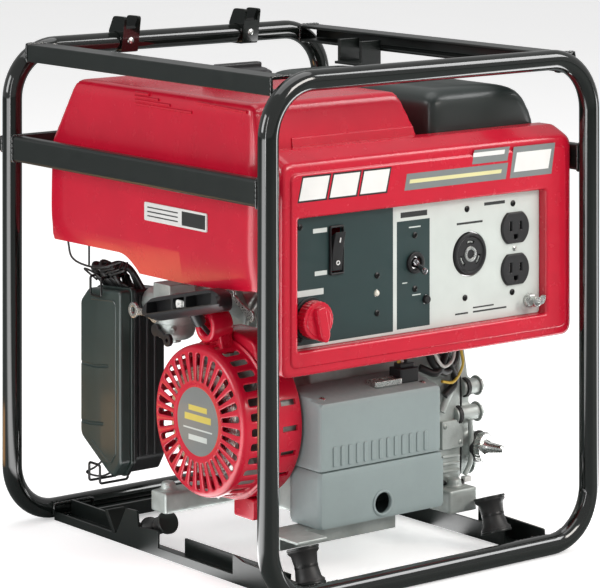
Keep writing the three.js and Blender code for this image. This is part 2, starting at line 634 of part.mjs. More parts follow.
// End cover of the crankcase: a flanged plate with bolt bosses and a bearing boss.
function sideCover() {
  const start = CRANKCASE.right + FIT;
  const profile = outline([
    [-47, -84, 14], [64, -84, 14], [70, -18, 12], [54, 46, 12], [-38, 52, 16], [-48, 8, 16],
  ]);
  const plate = prism('x', profile, start, start + 12, 2);
  const dome = rod([start + 11, 0, 0], [start + 22, 0, 0], 40, 16, 32);
  const bosses = [[-48, 3], [-48, -22], [-36, -74], [36, -76], [60, -30], [44, 38], [-20, 50]];
  const bolts = bosses.map(([y, z]) => rod([start, y, z], [start + 20, y, z], 8, 8));
  const heads = bosses.map(([y, z]) => hexBolt([start + 19.5, y, z], [1, 0, 0], 10, 6));
  const filler = rod(fillerPoint(-32), FILLER.foot, FILLER.radius, 16);
  const bore = rod([100, 0, 0], [start + 14, 0, 0], SHAFT_BORE_R, 20);
  const inside = box([80, -100, -100], [start, 100, 100]);
  return cut(union(plate, dome, ...bolts, ...heads, filler), bore, inside);
}

function cylinderHead() {
  const { x } = CYLINDER;
  const head = rod(axisPoint(116), axisPoint(144), 50, 16);
  const cover = rod(axisPoint(143), axisPoint(162), 40, 12, 34);
  const portY = axisPoint(131)[1];
  const portZ = axisPoint(131)[2];
  const intake = bentRod([
    [INTAKE.x, INTAKE.y, INTAKE.z], [-42, INTAKE.y, INTAKE.z], [-14, portY, portZ], [x, portY, portZ],
  ], 16, 11, 12, 3);
  const exhaust = rod([x, portY, portZ], [106, portY, portZ], 12, 12);
  const outlet = rod([106, portY, portZ - 6], [106, portY, 101], 13, 12);
  const plugHole = rod(axisPoint(130, 36), axisPoint(130, 60), 6, 10);
  return cut(union(head, cover, intake, exhaust, outlet), plugHole);
}

function sparkPlug() {
  const shell = rod(axisPoint(130, 37), axisPoint(130, 66), 5.5, 10);
  const hex = rod(axisPoint(130, 51), axisPoint(130, 57), 9, 6);
  return union(shell, hex);
}

function plugCap() {
  const start = axisPoint(130, 58);
  const top = axisPoint(130, 78);
  const boot = bentRod([start, top, [top[0], top[1] - 34, top[2] + 4]], 7, 8, 10, 4);
  return cut(boot, rod(axisPoint(130, 50), axisPoint(130, 67), 6, 10));
}

function crankshaft() {
  const shaft = rod([-128, 0, 0], [124, 0, 0], SHAFT_R, 18);
  const web = (x) => union(rod([x, 0, 0], [x + 14, 0, 0], 26, 16), box([x, -18, -40], [x + 14, 18, 0]));
  const nose = (x) => rod([x, 0, 25], [x + 14, 0, 25], 16, 12);
  const pin = rod([16, 0, 25], [56, 0, 25], 11, 12);
  const gap = rod([30, 0, 0], [42, 0, 0], SHAFT_R + 1, 20);
  return union(cut(shaft, gap), pin, web(16), web(42), nose(16), nose(42));
}

// The outer-rotor flywheel: a cup of magnets round the stator, with fan blades in front.
function flywheel() {
  const cup = turned([
    [-123, 13], [-123, 65], [-119, 69], [-103.5, 69], [-103.5, 60], [-117, 60], [-117, 24], [-112, 24],
    [-112, 13], [-123, 13],
  ], 24);
  const blades = around(box([-128, -1.5, 34], [-122.5, 1.5, 62]), 8);
  return union(cup, ...blades);
}

function stator() {
  const core = ring(-115, -106, 44, 34, 18);
  const spokes = around(box([-115, -4, 29], [-110, 4, 36]), 3);
  const teeth = around(box([-115, -4, 42], [-106, 4, 57]), 9);
  const sleeve = ring(-115, CRANKCASE.left - FIT, 32, 26, 16);
  return union(core, sleeve, ...teeth, ...spokes);
}

// The red shroud round the flywheel, with cooling slots and a squared top.
function fanHousing() {
  const { front, back, radius, sheet } = HOUSING;
  const tube = prism('x', disc(0, 0, radius), front, back, 14);
  const shoulderSide = outline([[-50, 30], [-42, 74, 8], [-12, 80, 8], [24, 80, 12], [52, 30]]);
  const shoulder = prism('x', shoulderSide, front, back, 2);
  const inside = prism('x', disc(0, 0, radius - sheet), front + sheet, back - 2, 14);
  const roomSide = outline([[-46, 30], [-39, 71, 6], [-11, 77, 6], [22, 77, 10], [48, 30]]);
  const shoulderInside = prism('x', roomSide, front + sheet, back - 2, 2);
  const mouth = rod([front - 1, 0, 0], [front + sheet + 1, 0, 0], 66, 24);
  const rearHole = rod([back - 5, 0, 0], [back + 1, 0, 0], 37, 20);
  const slots = around(box([front + 8, -2.6, radius - 8], [back - 6, 2.6, radius + 4]), 20)
    .filter((_, i) => i > 3 && i < 17 && i !== 10);
  const foot = box([-126, -34, -90], [-108, -4, -70]);
  return cut(union(tube, shoulder, foot), inside, shoulderInside, mouth, rearHole, ...slots);
}

// The dished recoil cover: slots in its face and wall, a reel post and the rope guide on top.
function recoilCover() {
  const { front, rim, flange, sheet, post, guideZ } = RECOIL;
  const flangeBack = HOUSING.front - FIT;
  const dish = turned([
    [front, 0], [front, rim - 6], [front + 2, rim - 2], [front + 8, rim], [flangeBack - sheet, rim + 2],
    [flangeBack - sheet, flange], [flangeBack, flange], [flangeBack, rim - 1], [front + 9, rim - sheet],
    [front + 4.5, rim - 4.5], [front + sheet, rim - 8], [front + sheet, post], [front + 28, post],
    [front + 28, 0],
  ], 32);
  const faceSlot = outline([[-1.5, 36], [1.5, 36], [3.1, 62.5], [-3.1, 62.5]]);
  const faceSlots = around(prism('x', faceSlot, front - 2, front + 8, 1), 32);
  const wallSlots = around(box([front + 11, -2.8, rim - 6], [front + 27, 2.8, rim + 6]), 32);
  const guide = union(
    rod([-134, 0, guideZ], [-157, 0, guideZ], 15, 16),
    box([-148, -14, 62], [-134, 14, guideZ]),
  );
  const ropeHole = union(
    rod([-165, 0, guideZ], [-141, 0, guideZ], 8.5, 14),
    rod([-150, 0, guideZ], [-150, 0, 50], 5, 8),
  );
  return cut(union(dish, guide), ...faceSlots, ...wallSlots, ropeHole);
}

// The rope reel turns on the post, with the rope groove round its rim.
function recoilReel() {
  const bore = RECOIL.post + FIT;
  return turned([
    [-158, bore], [-158, 50], [-154, 50], [-151, 42], [-148, 42], [-145, 50], [-140, 50], [-140, bore],
    [-158, bore],
  ], 24);
}

// The T-handle: a hollow grip along y, higher at its front end, with a stem in the rope guide.
function starterHandle() {
  const section = outline([[-188, 101, 3], [-184, 118, 5], [-169, 118, 5], [-166, 102, 3]]);
  const grip = prism('y', section, -58, 60, 2);
  const ends = prism('x', outline([
    [-62, 104, 3], [-54, 97, 2], [54, 97, 2], [62, 104, 3], [62, 112, 4], [46, 119, 3], [-46, 119, 3],
    [-62, 112, 4],
  ]), -195, -160, 2);
  const pocket = (y0, y1) => box([-192, y0, 105], [-172, y1, 114]);
  const hollow = cut(grip.intersect(ends), pocket(-50, -12), pocket(12, 50), pocket(-9, 9));
  const lifted = hollow.translate([0, 0, -108]).rotate([-13, 0, 0]).translate([0, 0, 108]);
  const stem = rod([-172, 0, 107], [-161, 0, RECOIL.guideZ + 3], 6, 10);
  return union(lifted, stem);
}

function oilFillerCap() {
  const seal = rod(fillerPoint(FIT), fillerPoint(4), 15, 16);
  const head = rod(fillerPoint(3.8), fillerPoint(11), 13, 12, 12);
  const tab = rod(fillerPoint(10), fillerPoint(30), 5, 8, 3);
  return union(seal, head, tab);
}

part(engine, 'crankcase', crankcase(), CAST);
part(engine, 'side_cover', sideCover(), CAST);
part(engine, 'cylinder_head', cylinderHead(), CAST);
part(engine, 'crankshaft', crankshaft(), STEEL);
part(engine, 'flywheel', flywheel(), CAST);
part(engine, 'stator', stator(), COPPER);
part(engine, 'fan_housing', fanHousing(), RED);
part(engine, 'recoil_cover', recoilCover(), RED);
part(engine, 'recoil_reel', recoilReel(), STEEL);
part(engine, 'starter_handle', starterHandle(), BLACK_PLASTIC);
part(engine, 'oil_filler_cap', oilFillerCap(), STEEL);
part(engine, 'spark_plug', sparkPlug(), STEEL);
part(engine, 'plug_cap', plugCap(), RUBBER);

// ---- Carburettor and controls ----

const carb = group(CARB.x, CARB.y, CARB.z);

function carburettor() {
  const throat = rod([-8, 0, 0], [30, 0, 0], 15, 16);
  const body = box([-16, -14, -14], [14, 14, 16]);
  const bowl = rod([0, 0, -13], [0, 0, -36], 18, 20, 16);
  const bowlNut = rod([0, 0, -35], [0, 0, -41], 5.5, 6);
  const horn = rod([0, 8, -6], [0, CLEANER.front - CARB.y + 2.7, -6], 13, 16);
  const flange = box([28, -18, -18], [CARB.flange, 18, 18]);
  return union(throat, body, bowl, bowlNut, horn, flange);
}

// A flat lever with a hub and an eye at its tip, in a plane across x.
function lever(length, hubRadius, eyeRadius, thickness) {
  const bar = prism('x', outline([[-4, -3], [length, -4, 2], [length, 4, 2], [-4, 3]]), 0, thickness, 2);
  const hub = rod([0, 0, 0], [thickness, 0, 0], hubRadius, 12);
  const eye = rod([0, length, 0], [thickness, length, 0], eyeRadius + 4, 14);
  const hole = rod([-1, length, 0], [thickness + 1, length, 0], eyeRadius, 10);
  return cut(union(bar, hub, eye), hole);
}

part(carb, 'carburettor', carburettor(), CAST);
const chokeShaft = rod([2, 0, 0], [17.5, 0, 0], 2, 8);
const chokeLever = union(lever(34, 7, 3.5, 3), chokeShaft);
part(carb, 'choke_lever', chokeLever.translate([CHOKE.x, CHOKE.y, CHOKE.z]), STEEL);
const valveLever = lever(20, 6, 2, 4).rotate([-160, 0, 0]);
part(carb, 'fuel_valve_lever', valveLever.translate([VALVE.x, VALVE.y, VALVE.z]), BLACK_PLASTIC);
const governorArm = lever(35, 6, 2, 3).rotate([30, 0, 0]);
part(carb, 'governor_arm', governorArm.translate([GOVERNOR.x, GOVERNOR.y, GOVERNOR.z]), STEEL);

// ---- Air cleaner ----

const cleaner = group();

const cleanerOutline = (inset) => {
  const { front, rear, bottom, top } = CLEANER;
  return outline([
    [front + inset, bottom + 14 + inset, 2], [front + 12, bottom + inset, 1], [front + 20, bottom + inset, 3],
    [rear - inset, bottom + 32 + inset / 2, 5], [rear - inset, top - 19, 3], [rear - 15, top - 4 - inset, 3],
    [front + inset, top - inset, 4],
  ]);
};

function cleanerCase() {
  const { seam, back, front } = CLEANER;
  const tub = prism('x', cleanerOutline(3), seam + FIT, back, 2);
  const flange = prism('x', cleanerOutline(0), seam + FIT, seam + 3, 2);
  const room = prism('x', cleanerOutline(6), seam - 1, back - 3, 2);
  const mouth = rod([CARB.x, front - 2, CARB.z - 6], [CARB.x, front + 8, CARB.z - 6], 12, 16);
  return cut(union(tub, flange), room, mouth);
}

// The cover is a shallow tray with two pressed grooves part of the way across its face.
function cleanerCover() {
  const { rear, face, seam } = CLEANER;
  const tray = prism('x', cleanerOutline(1.5), face, seam - 1, 2);
  const rim = prism('x', cleanerOutline(0), seam - 3, seam, 2);
  const room = prism('x', cleanerOutline(4.5), face + 3, seam + 1, 2);
  const groove = (y, z) => box([face - 1, y, z], [face + 1.2, rear + 5, z + 2.5]);
  return cut(union(tray, rim), room, groove(115, 103), groove(107, 159.5));
}

function filterElement() {
  const { seam, back } = CLEANER;
  return prism('x', cleanerOutline(9), seam + 2, back - 14, 2);
}

// A wire clip: a loop whose two feet pivot on the case and whose bend hooks the cover.
function wireClip(y, z, up) {
  const reach = CLEANER.face - 4;
  const pivot = CLEANER.seam + 14;
  return bentRod([
    [pivot, y - 9, z], [pivot, y - 9, z + 6 * up], [reach, y - 9, z + 6 * up], [reach, y - 9, z - 12 * up],
    [reach, y + 9, z - 12 * up], [reach, y + 9, z + 6 * up], [pivot, y + 9, z + 6 * up], [pivot, y + 9, z],
  ], 2.6, 1.2, 6, 2);
}

part(cleaner, 'cleaner_case', cleanerCase(), BLACK_PLASTIC);
part(cleaner, 'cleaner_cover', cleanerCover(), GREEN_GREY);
part(cleaner, 'filter_element', filterElement(), FOAM);
part(cleaner, 'upper_clip', wireClip(122, CLEANER.top + 2, 1), STEEL);
part(cleaner, 'lower_clip', wireClip(124, CLEANER.bottom - 2, -1), STEEL);

// ---- Frequency converter ----

const converter = group();

// The lower case: a tray with a ringed cable hole, longer than the cover at its right end.
function converterBase() {
  const { left, right, front, back, bottom, split, proud } = CONVERTER;
  const tray = prism('z', rectangle(left, front, right + proud, back, 4), bottom, split, 2);
  const room = prism('z', rectangle(left + 3, front + 2, right - 2, back - 3, 3), bottom + 3, split + 1, 2);
  const collar = rod([-26, front - 1, 66], [-26, front + 2, 66], 12, 16);
  const hole = rod([-26, front - 5, 66], [-26, front + 5, 66], 10, 16);
  return cut(union(cut(tray, room), collar), hole);
}

// The upper case: a cover whose top rises towards the back.
function converterCover() {
  const { left, right, front, back, split, top, rise } = CONVERTER;
  const side = outline([
    [front, split + FIT], [back, split + FIT], [back, top, 3], [front, top - rise, 3],
  ]);
  const plan = rectangle(left, front, right, back, 4);
  const lid = prism('x', side, left, right, 2).intersect(prism('z', plan, split, top + 1, 2));
  const room = box([left + 3, front + 3, split - 1], [right - 3, back - 3, top - rise - 4]);
  return cut(lid, room);
}

// An aluminium bar under the converter, from the engine to its front left mount.
function converterBar() {
  const top = CONVERTER.bottom - FIT;
  const bar = box([-134, -145, 36], [2, -122, top]);
  const tongue = box([-138, -176, top - 3], [-104, -130, top]);
  const relief = box([-100, -140, 30], [-4, -120, 46]);
  return cut(union(bar, tongue), relief);
}

part(converter, 'converter_base', converterBase(), GREY_BLUE);
part(converter, 'converter_cover', converterCover(), GREY_BLUE);
part(converter, 'converter_bar', converterBar(), CAST);

// ---- Fuel hose from the tank to the carburettor ----

const fuelHose = () => bentRod([
  [-112, 30, TANK.floor - FIT], [-112, 30, 270],
  [CARB.x + 8, CARB.y, 262], [CARB.x + 8, CARB.y, CARB.z + 16 + FIT],
], 8, 4, 8, 3);

part(generator, 'fuel_hose', fuelHose(), RUBBER);

export default generator;
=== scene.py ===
"""Looks of an open-frame portable generator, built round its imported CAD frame.

Sizes here are millimetres in the CAD's own frame (+Z up, -Y the panel side, -X the recoil side);
add_piece() turns them into metres. Places come from the CAD nodes through Span.
"""

import json
from math import asin, cos, pi, radians, sin, tan

import bmesh
import bpy
import numpy as np
from mathutils import Matrix, Vector


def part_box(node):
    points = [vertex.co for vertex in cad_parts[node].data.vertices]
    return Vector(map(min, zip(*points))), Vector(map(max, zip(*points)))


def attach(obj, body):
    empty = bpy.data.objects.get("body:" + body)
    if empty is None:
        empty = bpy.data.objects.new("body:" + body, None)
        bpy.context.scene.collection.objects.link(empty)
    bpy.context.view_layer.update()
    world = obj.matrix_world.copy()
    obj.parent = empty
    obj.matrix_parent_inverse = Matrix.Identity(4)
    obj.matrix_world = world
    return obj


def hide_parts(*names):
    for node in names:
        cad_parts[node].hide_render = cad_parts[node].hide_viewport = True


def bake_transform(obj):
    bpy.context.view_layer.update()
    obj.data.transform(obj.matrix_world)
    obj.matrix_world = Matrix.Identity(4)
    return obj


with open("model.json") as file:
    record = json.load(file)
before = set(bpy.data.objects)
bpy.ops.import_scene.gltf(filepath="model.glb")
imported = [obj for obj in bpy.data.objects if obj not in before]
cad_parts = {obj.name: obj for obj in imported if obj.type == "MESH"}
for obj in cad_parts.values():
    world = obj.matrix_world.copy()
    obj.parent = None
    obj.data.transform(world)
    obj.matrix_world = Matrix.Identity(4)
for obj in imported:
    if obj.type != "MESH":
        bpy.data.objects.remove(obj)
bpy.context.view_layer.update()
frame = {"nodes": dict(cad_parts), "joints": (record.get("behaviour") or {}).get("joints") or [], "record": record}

MM = 0.001
JOINTS = {joint["name"]: joint for joint in frame["joints"]}
CRANK = Vector(JOINTS["crank_spin"]["pos_m"]) / MM


class Span:
    """The box of a CAD node in millimetres: x0, x1, y0, y1, z0, z1 and its middle."""

    def __init__(self, node):
        low, high = (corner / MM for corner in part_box(node))
        self.low, self.high, self.mid, self.size = low, high, (low + high) / 2, high - low
        (self.x0, self.y0, self.z0), (self.x1, self.y1, self.z1) = low, high


# ---------------------------------------------------------------- materials


class Nodes:
    """A short way to write a material's node tree."""

    def __init__(self, name):
        self.material = bpy.data.materials.new(name)
        self.material.use_nodes = True
        self.tree = self.material.node_tree
        self.surface = self.tree.nodes["Principled BSDF"]
        self.place = self.add("ShaderNodeTexCoord").outputs["Object"]

    def add(self, kind, settings=None, **inputs):
        node = self.tree.nodes.new(kind)
        for key, value in (settings or {}).items():
            setattr(node, key, value)
        for key, value in inputs.items():
            self.set(node, key.replace("_", " "), value)
        return node

    def set(self, node, key, value):
        socket = node.inputs[int(key)] if key.isdigit() else node.inputs[key]
        if isinstance(value, bpy.types.NodeSocket):
            self.tree.links.new(value, socket)
        else:
            socket.default_value = value

    def noise(self, size_mm, detail=3.0, stretch=(1, 1, 1)):
        """Noise whose blobs are about size_mm across."""
        scaled = self.add("ShaderNodeVectorMath", {"operation": "MULTIPLY"})
        self.set(scaled, "0", self.place)
        scaled.inputs[1].default_value = stretch
        made = self.add("ShaderNodeTexNoise", Scale=1 / (size_mm * MM), Detail=detail)
        self.set(made, "Vector", scaled.outputs[0])
        return made.outputs["Fac"]

    def remap(self, value, low, high, to_low, to_high):
        made = self.add("ShaderNodeMapRange")
        for key, number in zip(("From Min", "From Max", "To Min", "To Max"), (low, high, to_low, to_high)):
            self.set(made, key, number)
        self.set(made, "Value", value)
        return made.outputs[0]

    def mix(self, factor, first, second):
        made = self.add("ShaderNodeMix", {"data_type": "RGBA"})
        self.set(made, "0", factor)
        for index, colour in ((6, first), (7, second)):
            self.set(made, str(index), (*colour, 1) if isinstance(colour, tuple) else colour)
        return made.outputs[2]

    def math(self, operation, first, second=0.0, clamp=False):
        made = self.add("ShaderNodeMath", {"operation": operation, "use_clamp": clamp})
        self.set(made, "0", first)
        self.set(made, "1", second)
        return made.outputs[0]

    def shine(self, **inputs):
        for key, value in inputs.items():
            self.set(self.surface, key.replace("_", " "), value)

    def bump(self, height, depth_mm, under=None):
        made = self.add("ShaderNodeBump", Strength=1.0, Distance=depth_mm * MM, Height=height)
        if under is not None:
            self.set(made, "Normal", under)
        self.set(self.surface, "Normal", made.outputs[0])
        return made.outputs[0]


def lighter(colour, factor):
    """A colour scaled by a factor, kept below white."""
    return tuple(min(1.0, channel * factor) for channel in colour)


def enamel(name, colour, roughness, peel_mm=2.5, peel_depth=0.012, coat=0.6, mottle=0.12):
    """Sprayed paint: orange peel, faint mottling and a clear top surface."""
    n = Nodes(name)
    tone = n.noise(38, 4)
    n.shine(Base_Color=n.mix(n.remap(tone, 0.3, 0.7, 0, 1), lighter(colour, 1 - mottle),
                             lighter(colour, 1 + mottle)))
    n.shine(Roughness=n.remap(n.noise(14, 5), 0.3, 0.7, roughness * 0.93, roughness * 1.08))
    n.shine(Coat_Weight=coat, Coat_Roughness=0.06)
    n.bump(n.noise(peel_mm, 2), peel_depth)
    return n.material


def moulded(name, colour, roughness, grain_mm=0.7, grain_depth=0.02, coat=0.0, mottle=0.1):
    """Moulded plastic: a fine eroded grain and slow changes of shine."""
    n = Nodes(name)
    n.shine(Base_Color=n.mix(n.remap(n.noise(30, 3), 0.3, 0.7, 0, 1), lighter(colour, 1 - mottle),
                             lighter(colour, 1 + mottle)))
    n.shine(Roughness=n.remap(n.noise(9, 4), 0.3, 0.7, roughness * 0.92, roughness * 1.08),
            Coat_Weight=coat)
    n.bump(n.noise(grain_mm, 2), grain_depth)
    return n.material


def casting(name, colour, roughness=0.5, metallic=0.55, grain_mm=1.1, grain_depth=0.09, stain=0.55):
    """Sand-cast metal: a coarse grain, small stains in the hollows and a dull metal shine."""
    n = Nodes(name)
    stains = n.remap(n.noise(22, 5), 0.42, 0.75, 0, stain)
    n.shine(Base_Color=n.mix(stains, colour, lighter(colour, 0.6)), Metallic=metallic)
    n.shine(Roughness=n.remap(n.noise(5, 4), 0.3, 0.7, roughness * 0.8, roughness * 1.2))
    under = n.bump(n.noise(8, 2), grain_depth * 1.6)
    n.bump(n.noise(grain_mm, 3), grain_depth, under)
    return n.material


def plated(name, colour, roughness=0.28, stretch=(1, 1, 1)):
    """Zinc-plated or drawn steel: bright, with fine drawn lines."""
    n = Nodes(name)
    n.shine(Base_Color=n.mix(n.remap(n.noise(6, 4), 0.35, 0.65, 0, 1), lighter(colour, 0.82),
                             colour), Metallic=1.0)
    n.shine(Roughness=n.remap(n.noise(1.2, 4, stretch), 0.3, 0.7, roughness * 0.7, roughness * 1.4))
    n.bump(n.noise(0.8, 3, stretch), 0.008)
    return n.material


def label(name, colour, roughness=0.35):
    """Printed film: even colour with faint ink mottling under a thin clear coat."""
    return moulded(name, colour, roughness, 0.6, 0.004, coat=0.3, mottle=0.04)


def insulated(name, colour):
    """Soft wire covering."""
    return moulded(name, colour, 0.45, 1.5, 0.02, mottle=0.12)


def printed(name, ground, marks, roughness=0.35):
    """A printed face: marks are (axis pair, u0, v0, u1, v1, colour) in millimetres, the last on top."""
    n = Nodes(name)
    split = n.add("ShaderNodeSeparateXYZ", Vector=n.place)
    tone = n.remap(n.noise(26, 3), 0.3, 0.7, 0, 1)
    colour = n.mix(tone, lighter(ground, 0.96), lighter(ground, 1.04))
    for axes, u0, v0, u1, v1, ink in marks:
        mask = 1.0
        for axis, low, high in ((axes[0], u0, u1), (axes[1], v0, v1)):
            value = split.outputs["XYZ".index(axis)]
            mask = n.math("MULTIPLY", mask, n.math("GREATER_THAN", value, low * MM))
            mask = n.math("MULTIPLY", mask, n.math("LESS_THAN", value, high * MM))
        inked = n.mix(tone, lighter(ink, 0.94), lighter(ink, 1.06))
        colour = n.mix(mask, colour, inked)
    n.shine(Base_Color=colour, Roughness=n.remap(n.noise(7, 4), 0.3, 0.7, roughness * 0.85,
                                                 roughness * 1.2), Coat_Weight=0.3)
    n.bump(n.noise(0.6, 2), 0.003)
    return n.material


RED = (0.58, 0.006, 0.030)

LOOKS = {
    "black_gloss": enamel("black_enamel", (0.006, 0.008, 0.007), 0.09, peel_depth=0.004, coat=0.6),
    "black_satin": enamel("satin_enamel", (0.007, 0.010, 0.009), 0.34, coat=0.1),
    "red_paint": enamel("red_enamel", RED, 0.26, coat=0.2, mottle=0.05),
    "red_plastic": moulded("red_moulding", (0.56, 0.006, 0.028), 0.26, 1.6, 0.008, coat=0.2, mottle=0.05),
    "black_plastic": moulded("black_moulding", (0.012, 0.012, 0.013), 0.36, 0.8, 0.02),
    "lamp_lens": moulded("lamp_lens", (0.70, 0.68, 0.58), 0.12, 0.5, 0.004, coat=0.8),
    "rubber": moulded("black_rubber", (0.014, 0.014, 0.014), 0.5, 1.0, 0.03),
    "cast_aluminium": casting("cast_aluminium", (0.46, 0.50, 0.48), stain=0.8),
    "muffler_steel": casting("muffler_steel", (0.30, 0.27, 0.23), 0.45, 0.8, 2.5, 0.03),
    "steel": plated("zinc_plate", (0.66, 0.67, 0.65)),
    "windings": plated("copper_winding", (0.55, 0.22, 0.09), 0.35, (1, 8, 8)),
    "cleaner_green": moulded("cleaner_moulding", (0.030, 0.046, 0.042), 0.34, 0.9, 0.012, coat=0.15),
    "foam": moulded("filter_foam", (0.05, 0.055, 0.045), 0.95, 1.6, 0.5),
    "converter_grey": casting("converter_grey", (0.265, 0.325, 0.325), 0.50, 0.0, 0.9, 0.03, 0.12),
    "plate": moulded("plate_white", (0.70, 0.73, 0.69), 0.35, 1.2, 0.006),
}

GREY_GREEN = (0.015, 0.038, 0.038)
PALE = (0.60, 0.65, 0.62)
INK = (0.02, 0.022, 0.022)
PLATE_MARKS = [("XZ", -148, 223, -31, 340, GREY_GREEN), ("XZ", -148, 223, -30, 226, PALE),
               ("XZ", -31, 223, -26.5, 340, PALE), ("XZ", -26.5, 227, 13, 325, GREY_GREEN),
               ("XZ", -145, 269, -112, 274.5, PALE), ("XZ", -124, 324, -108, 328, PALE),
               ("XZ", -122, 286, -108, 290, PALE), ("XZ", -22, 328, 10, 333, INK),
               ("XZ", -12, 318, 2, 319.2, PALE), ("XZ", -20, 268, -14, 269, PALE),
               ("XZ", -8, 256, 2, 257, PALE), ("XZ", 46, 315, 78, 317, INK), ("XZ", 80, 330, 106, 333, INK),
               ("XZ", 66, 232, 108, 233.6, INK), ("XZ", 66, 236, 92, 237.4, INK),
               ("XZ", 44, 232, 60, 233.6, INK)]
YELLOW = (0.62, 0.52, 0.10)
SEAT_BARS = ((14, 9, 14, YELLOW), (20, 0, 6, YELLOW), (22, -8, -6.6, PALE), (14, -18, -13, PALE))
SEAT_MARKS = [("YZ", CRANK.y - half, CRANK.z + low, CRANK.y + half, CRANK.z + high, ink)
              for half, low, high, ink in SEAT_BARS]
LABEL_MARKS = [("YZ", -82, 319, -46, 332, INK)] + [("YZ", -40, z, 8, z + 1.2, INK) for z in (321, 325, 329)]
LOOKS |= {
    "label_grey": label("grey_print", (0.20, 0.22, 0.22)),
    "label_white": label("white_print", (0.82, 0.82, 0.80)),
    "printed_plate": printed("control_print", PALE, PLATE_MARKS),
    "dark_screw": plated("blackened_screw", (0.05, 0.05, 0.05), 0.35),
    "dark_chrome": plated("dark_chrome", (0.30, 0.30, 0.31), 0.14),
    "cover_enamel": enamel("cover_enamel", (0.020, 0.028, 0.026), 0.35, coat=0.1),
    "label_yellow": label("yellow_print", (0.74, 0.70, 0.36)),
    "tank_label": printed("tank_label_print", (0.74, 0.74, 0.72), LABEL_MARKS),
    "seat_label": printed("seat_print", (0.19, 0.21, 0.21), SEAT_MARKS),
    "wire_yellow": insulated("wire_yellow", (0.62, 0.42, 0.05)),
    "wire_white": insulated("wire_white", (0.70, 0.70, 0.66)),
    "wire_black": insulated("wire_black", (0.012, 0.012, 0.012)),
}

SLOT_OF = {row["node"]: row["material_slot"] for row in frame["record"]["subparts"]}
BODY_OF = {node: body for body, nodes in frame["record"]["behaviour"]["bodies"].items() for node in nodes}

# ---------------------------------------------------------------- meshes


def add_piece(name, bm, body="frame", slot=None, look=None, replaces=(), sharp=32, weighted=True):
    """Makes a mesh object from a bmesh in millimetres and puts it on its CAD body, if one is given."""
    bmesh.ops.scale(bm, vec=(MM, MM, MM), verts=bm.verts)
    mesh = bpy.data.meshes.new(name)
    bm.to_mesh(mesh)
    bm.free()
    mesh.polygons.foreach_set("use_smooth", [True] * len(mesh.polygons))
    mesh.set_sharp_from_angle(angle=radians(sharp))
    made = bpy.data.objects.new(name, mesh)
    bpy.context.scene.collection.objects.link(made)
    made.data.materials.append(LOOKS[look or slot])
    if weighted:
        flat = made.modifiers.new("flat", "WEIGHTED_NORMAL")
        flat.keep_sharp = True
    if body:
        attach(made, body)
    if replaces:
        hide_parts(*replaces)
    return made


# ---------------------------------------------------------------- shapes, in millimetres


def circle(u, v, radius, count=48):
    """Points round a circle."""
    angles = [2 * pi * i / count for i in range(count)]
    return [(u + radius * cos(a), v + radius * sin(a)) for a in angles]


def outline(corners, steps=8):
    """A closed outline of corners (u, v, setback), each corner turned as a smooth curve."""
    points = []
    for i, (u, v, *rest) in enumerate(corners):
        corner = Vector((u, v))
        setback = rest[0] if rest else 0
        if not setback:
            points.append((u, v))
            continue
        before = Vector(corners[i - 1][:2])
        after = Vector(corners[(i + 1) % len(corners)][:2])
        start = corner + (before - corner).normalized() * setback
        end = corner + (after - corner).normalized() * setback
        for k in range(steps + 1):
            t = k / steps
            point = start * (1 - t) ** 2 + corner * 2 * t * (1 - t) + end * t ** 2
            points.append((point.x, point.y))
    return points


def rectangle(u0, v0, u1, v1, setback=0, steps=8):
    """A rectangle's outline with corners rounded by setback."""
    return outline([(u0, v0, setback), (u1, v0, setback), (u1, v1, setback), (u0, v1, setback)], steps)


def mesh_of(made):
    """The evaluated mesh of a temporary object, as a bmesh; the object is removed."""
    bpy.context.view_layer.update()
    mesh = bpy.data.meshes.new_from_object(made.evaluated_get(bpy.context.evaluated_depsgraph_get()))
    bm = bmesh.new()
    bm.from_mesh(mesh)
    bpy.data.meshes.remove(mesh)
    bpy.data.objects.remove(made)
    return bm


def as_object(bm):
    """A temporary object holding a bmesh."""
    mesh = bpy.data.meshes.new("work")
    bm.to_mesh(mesh)
    bm.free()
    made = bpy.data.objects.new("work", mesh)
    bpy.context.scene.collection.objects.link(made)
    return made


def moved(bm, matrix):
    """The same bmesh, turned and shifted in place by a 4 x 4 matrix."""
    bmesh.ops.transform(bm, matrix=matrix, verts=bm.verts)
    return bm


def plate(loops, axis, low, high, bevel=0.4, segments=2):
    """Outlines (the first the outside, the rest holes) pushed along an axis, with rounded rims."""
    curve = bpy.data.curves.new("outline", "CURVE")
    curve.dimensions = "2D"
    curve.fill_mode = "BOTH"
    curve.extrude = (high - low) / 2 - bevel
    curve.bevel_depth = bevel
    curve.bevel_resolution = segments
    curve.offset = -bevel
    for loop in loops:
        spline = curve.splines.new("POLY")
        spline.points.add(len(loop) - 1)
        for point, (u, v) in zip(spline.points, loop):
            point.co = (u, v, 0, 1)
        spline.use_cyclic_u = True
    made = bpy.data.objects.new("outline", curve)
    bpy.context.scene.collection.objects.link(made)
    bm = mesh_of(made)
    bmesh.ops.remove_doubles(bm, verts=bm.verts, dist=0.001)
    middle = (low + high) / 2
    turn = {
        "x": Matrix(((0, 0, 1, middle), (1, 0, 0, 0), (0, 1, 0, 0), (0, 0, 0, 1))),
        "y": Matrix(((1, 0, 0, 0), (0, 0, 1, middle), (0, 1, 0, 0), (0, 0, 0, 1))),
        "z": Matrix.Translation((0, 0, middle)),
    }[axis]
    moved(bm, turn)
    bmesh.ops.recalc_face_normals(bm, faces=bm.faces)
    return bm


def prism(loops, axis, low, high):
    """A plate with sharp rims, for cutting tools and thin print."""
    return plate(loops, axis, low, high, bevel=0, segments=0)


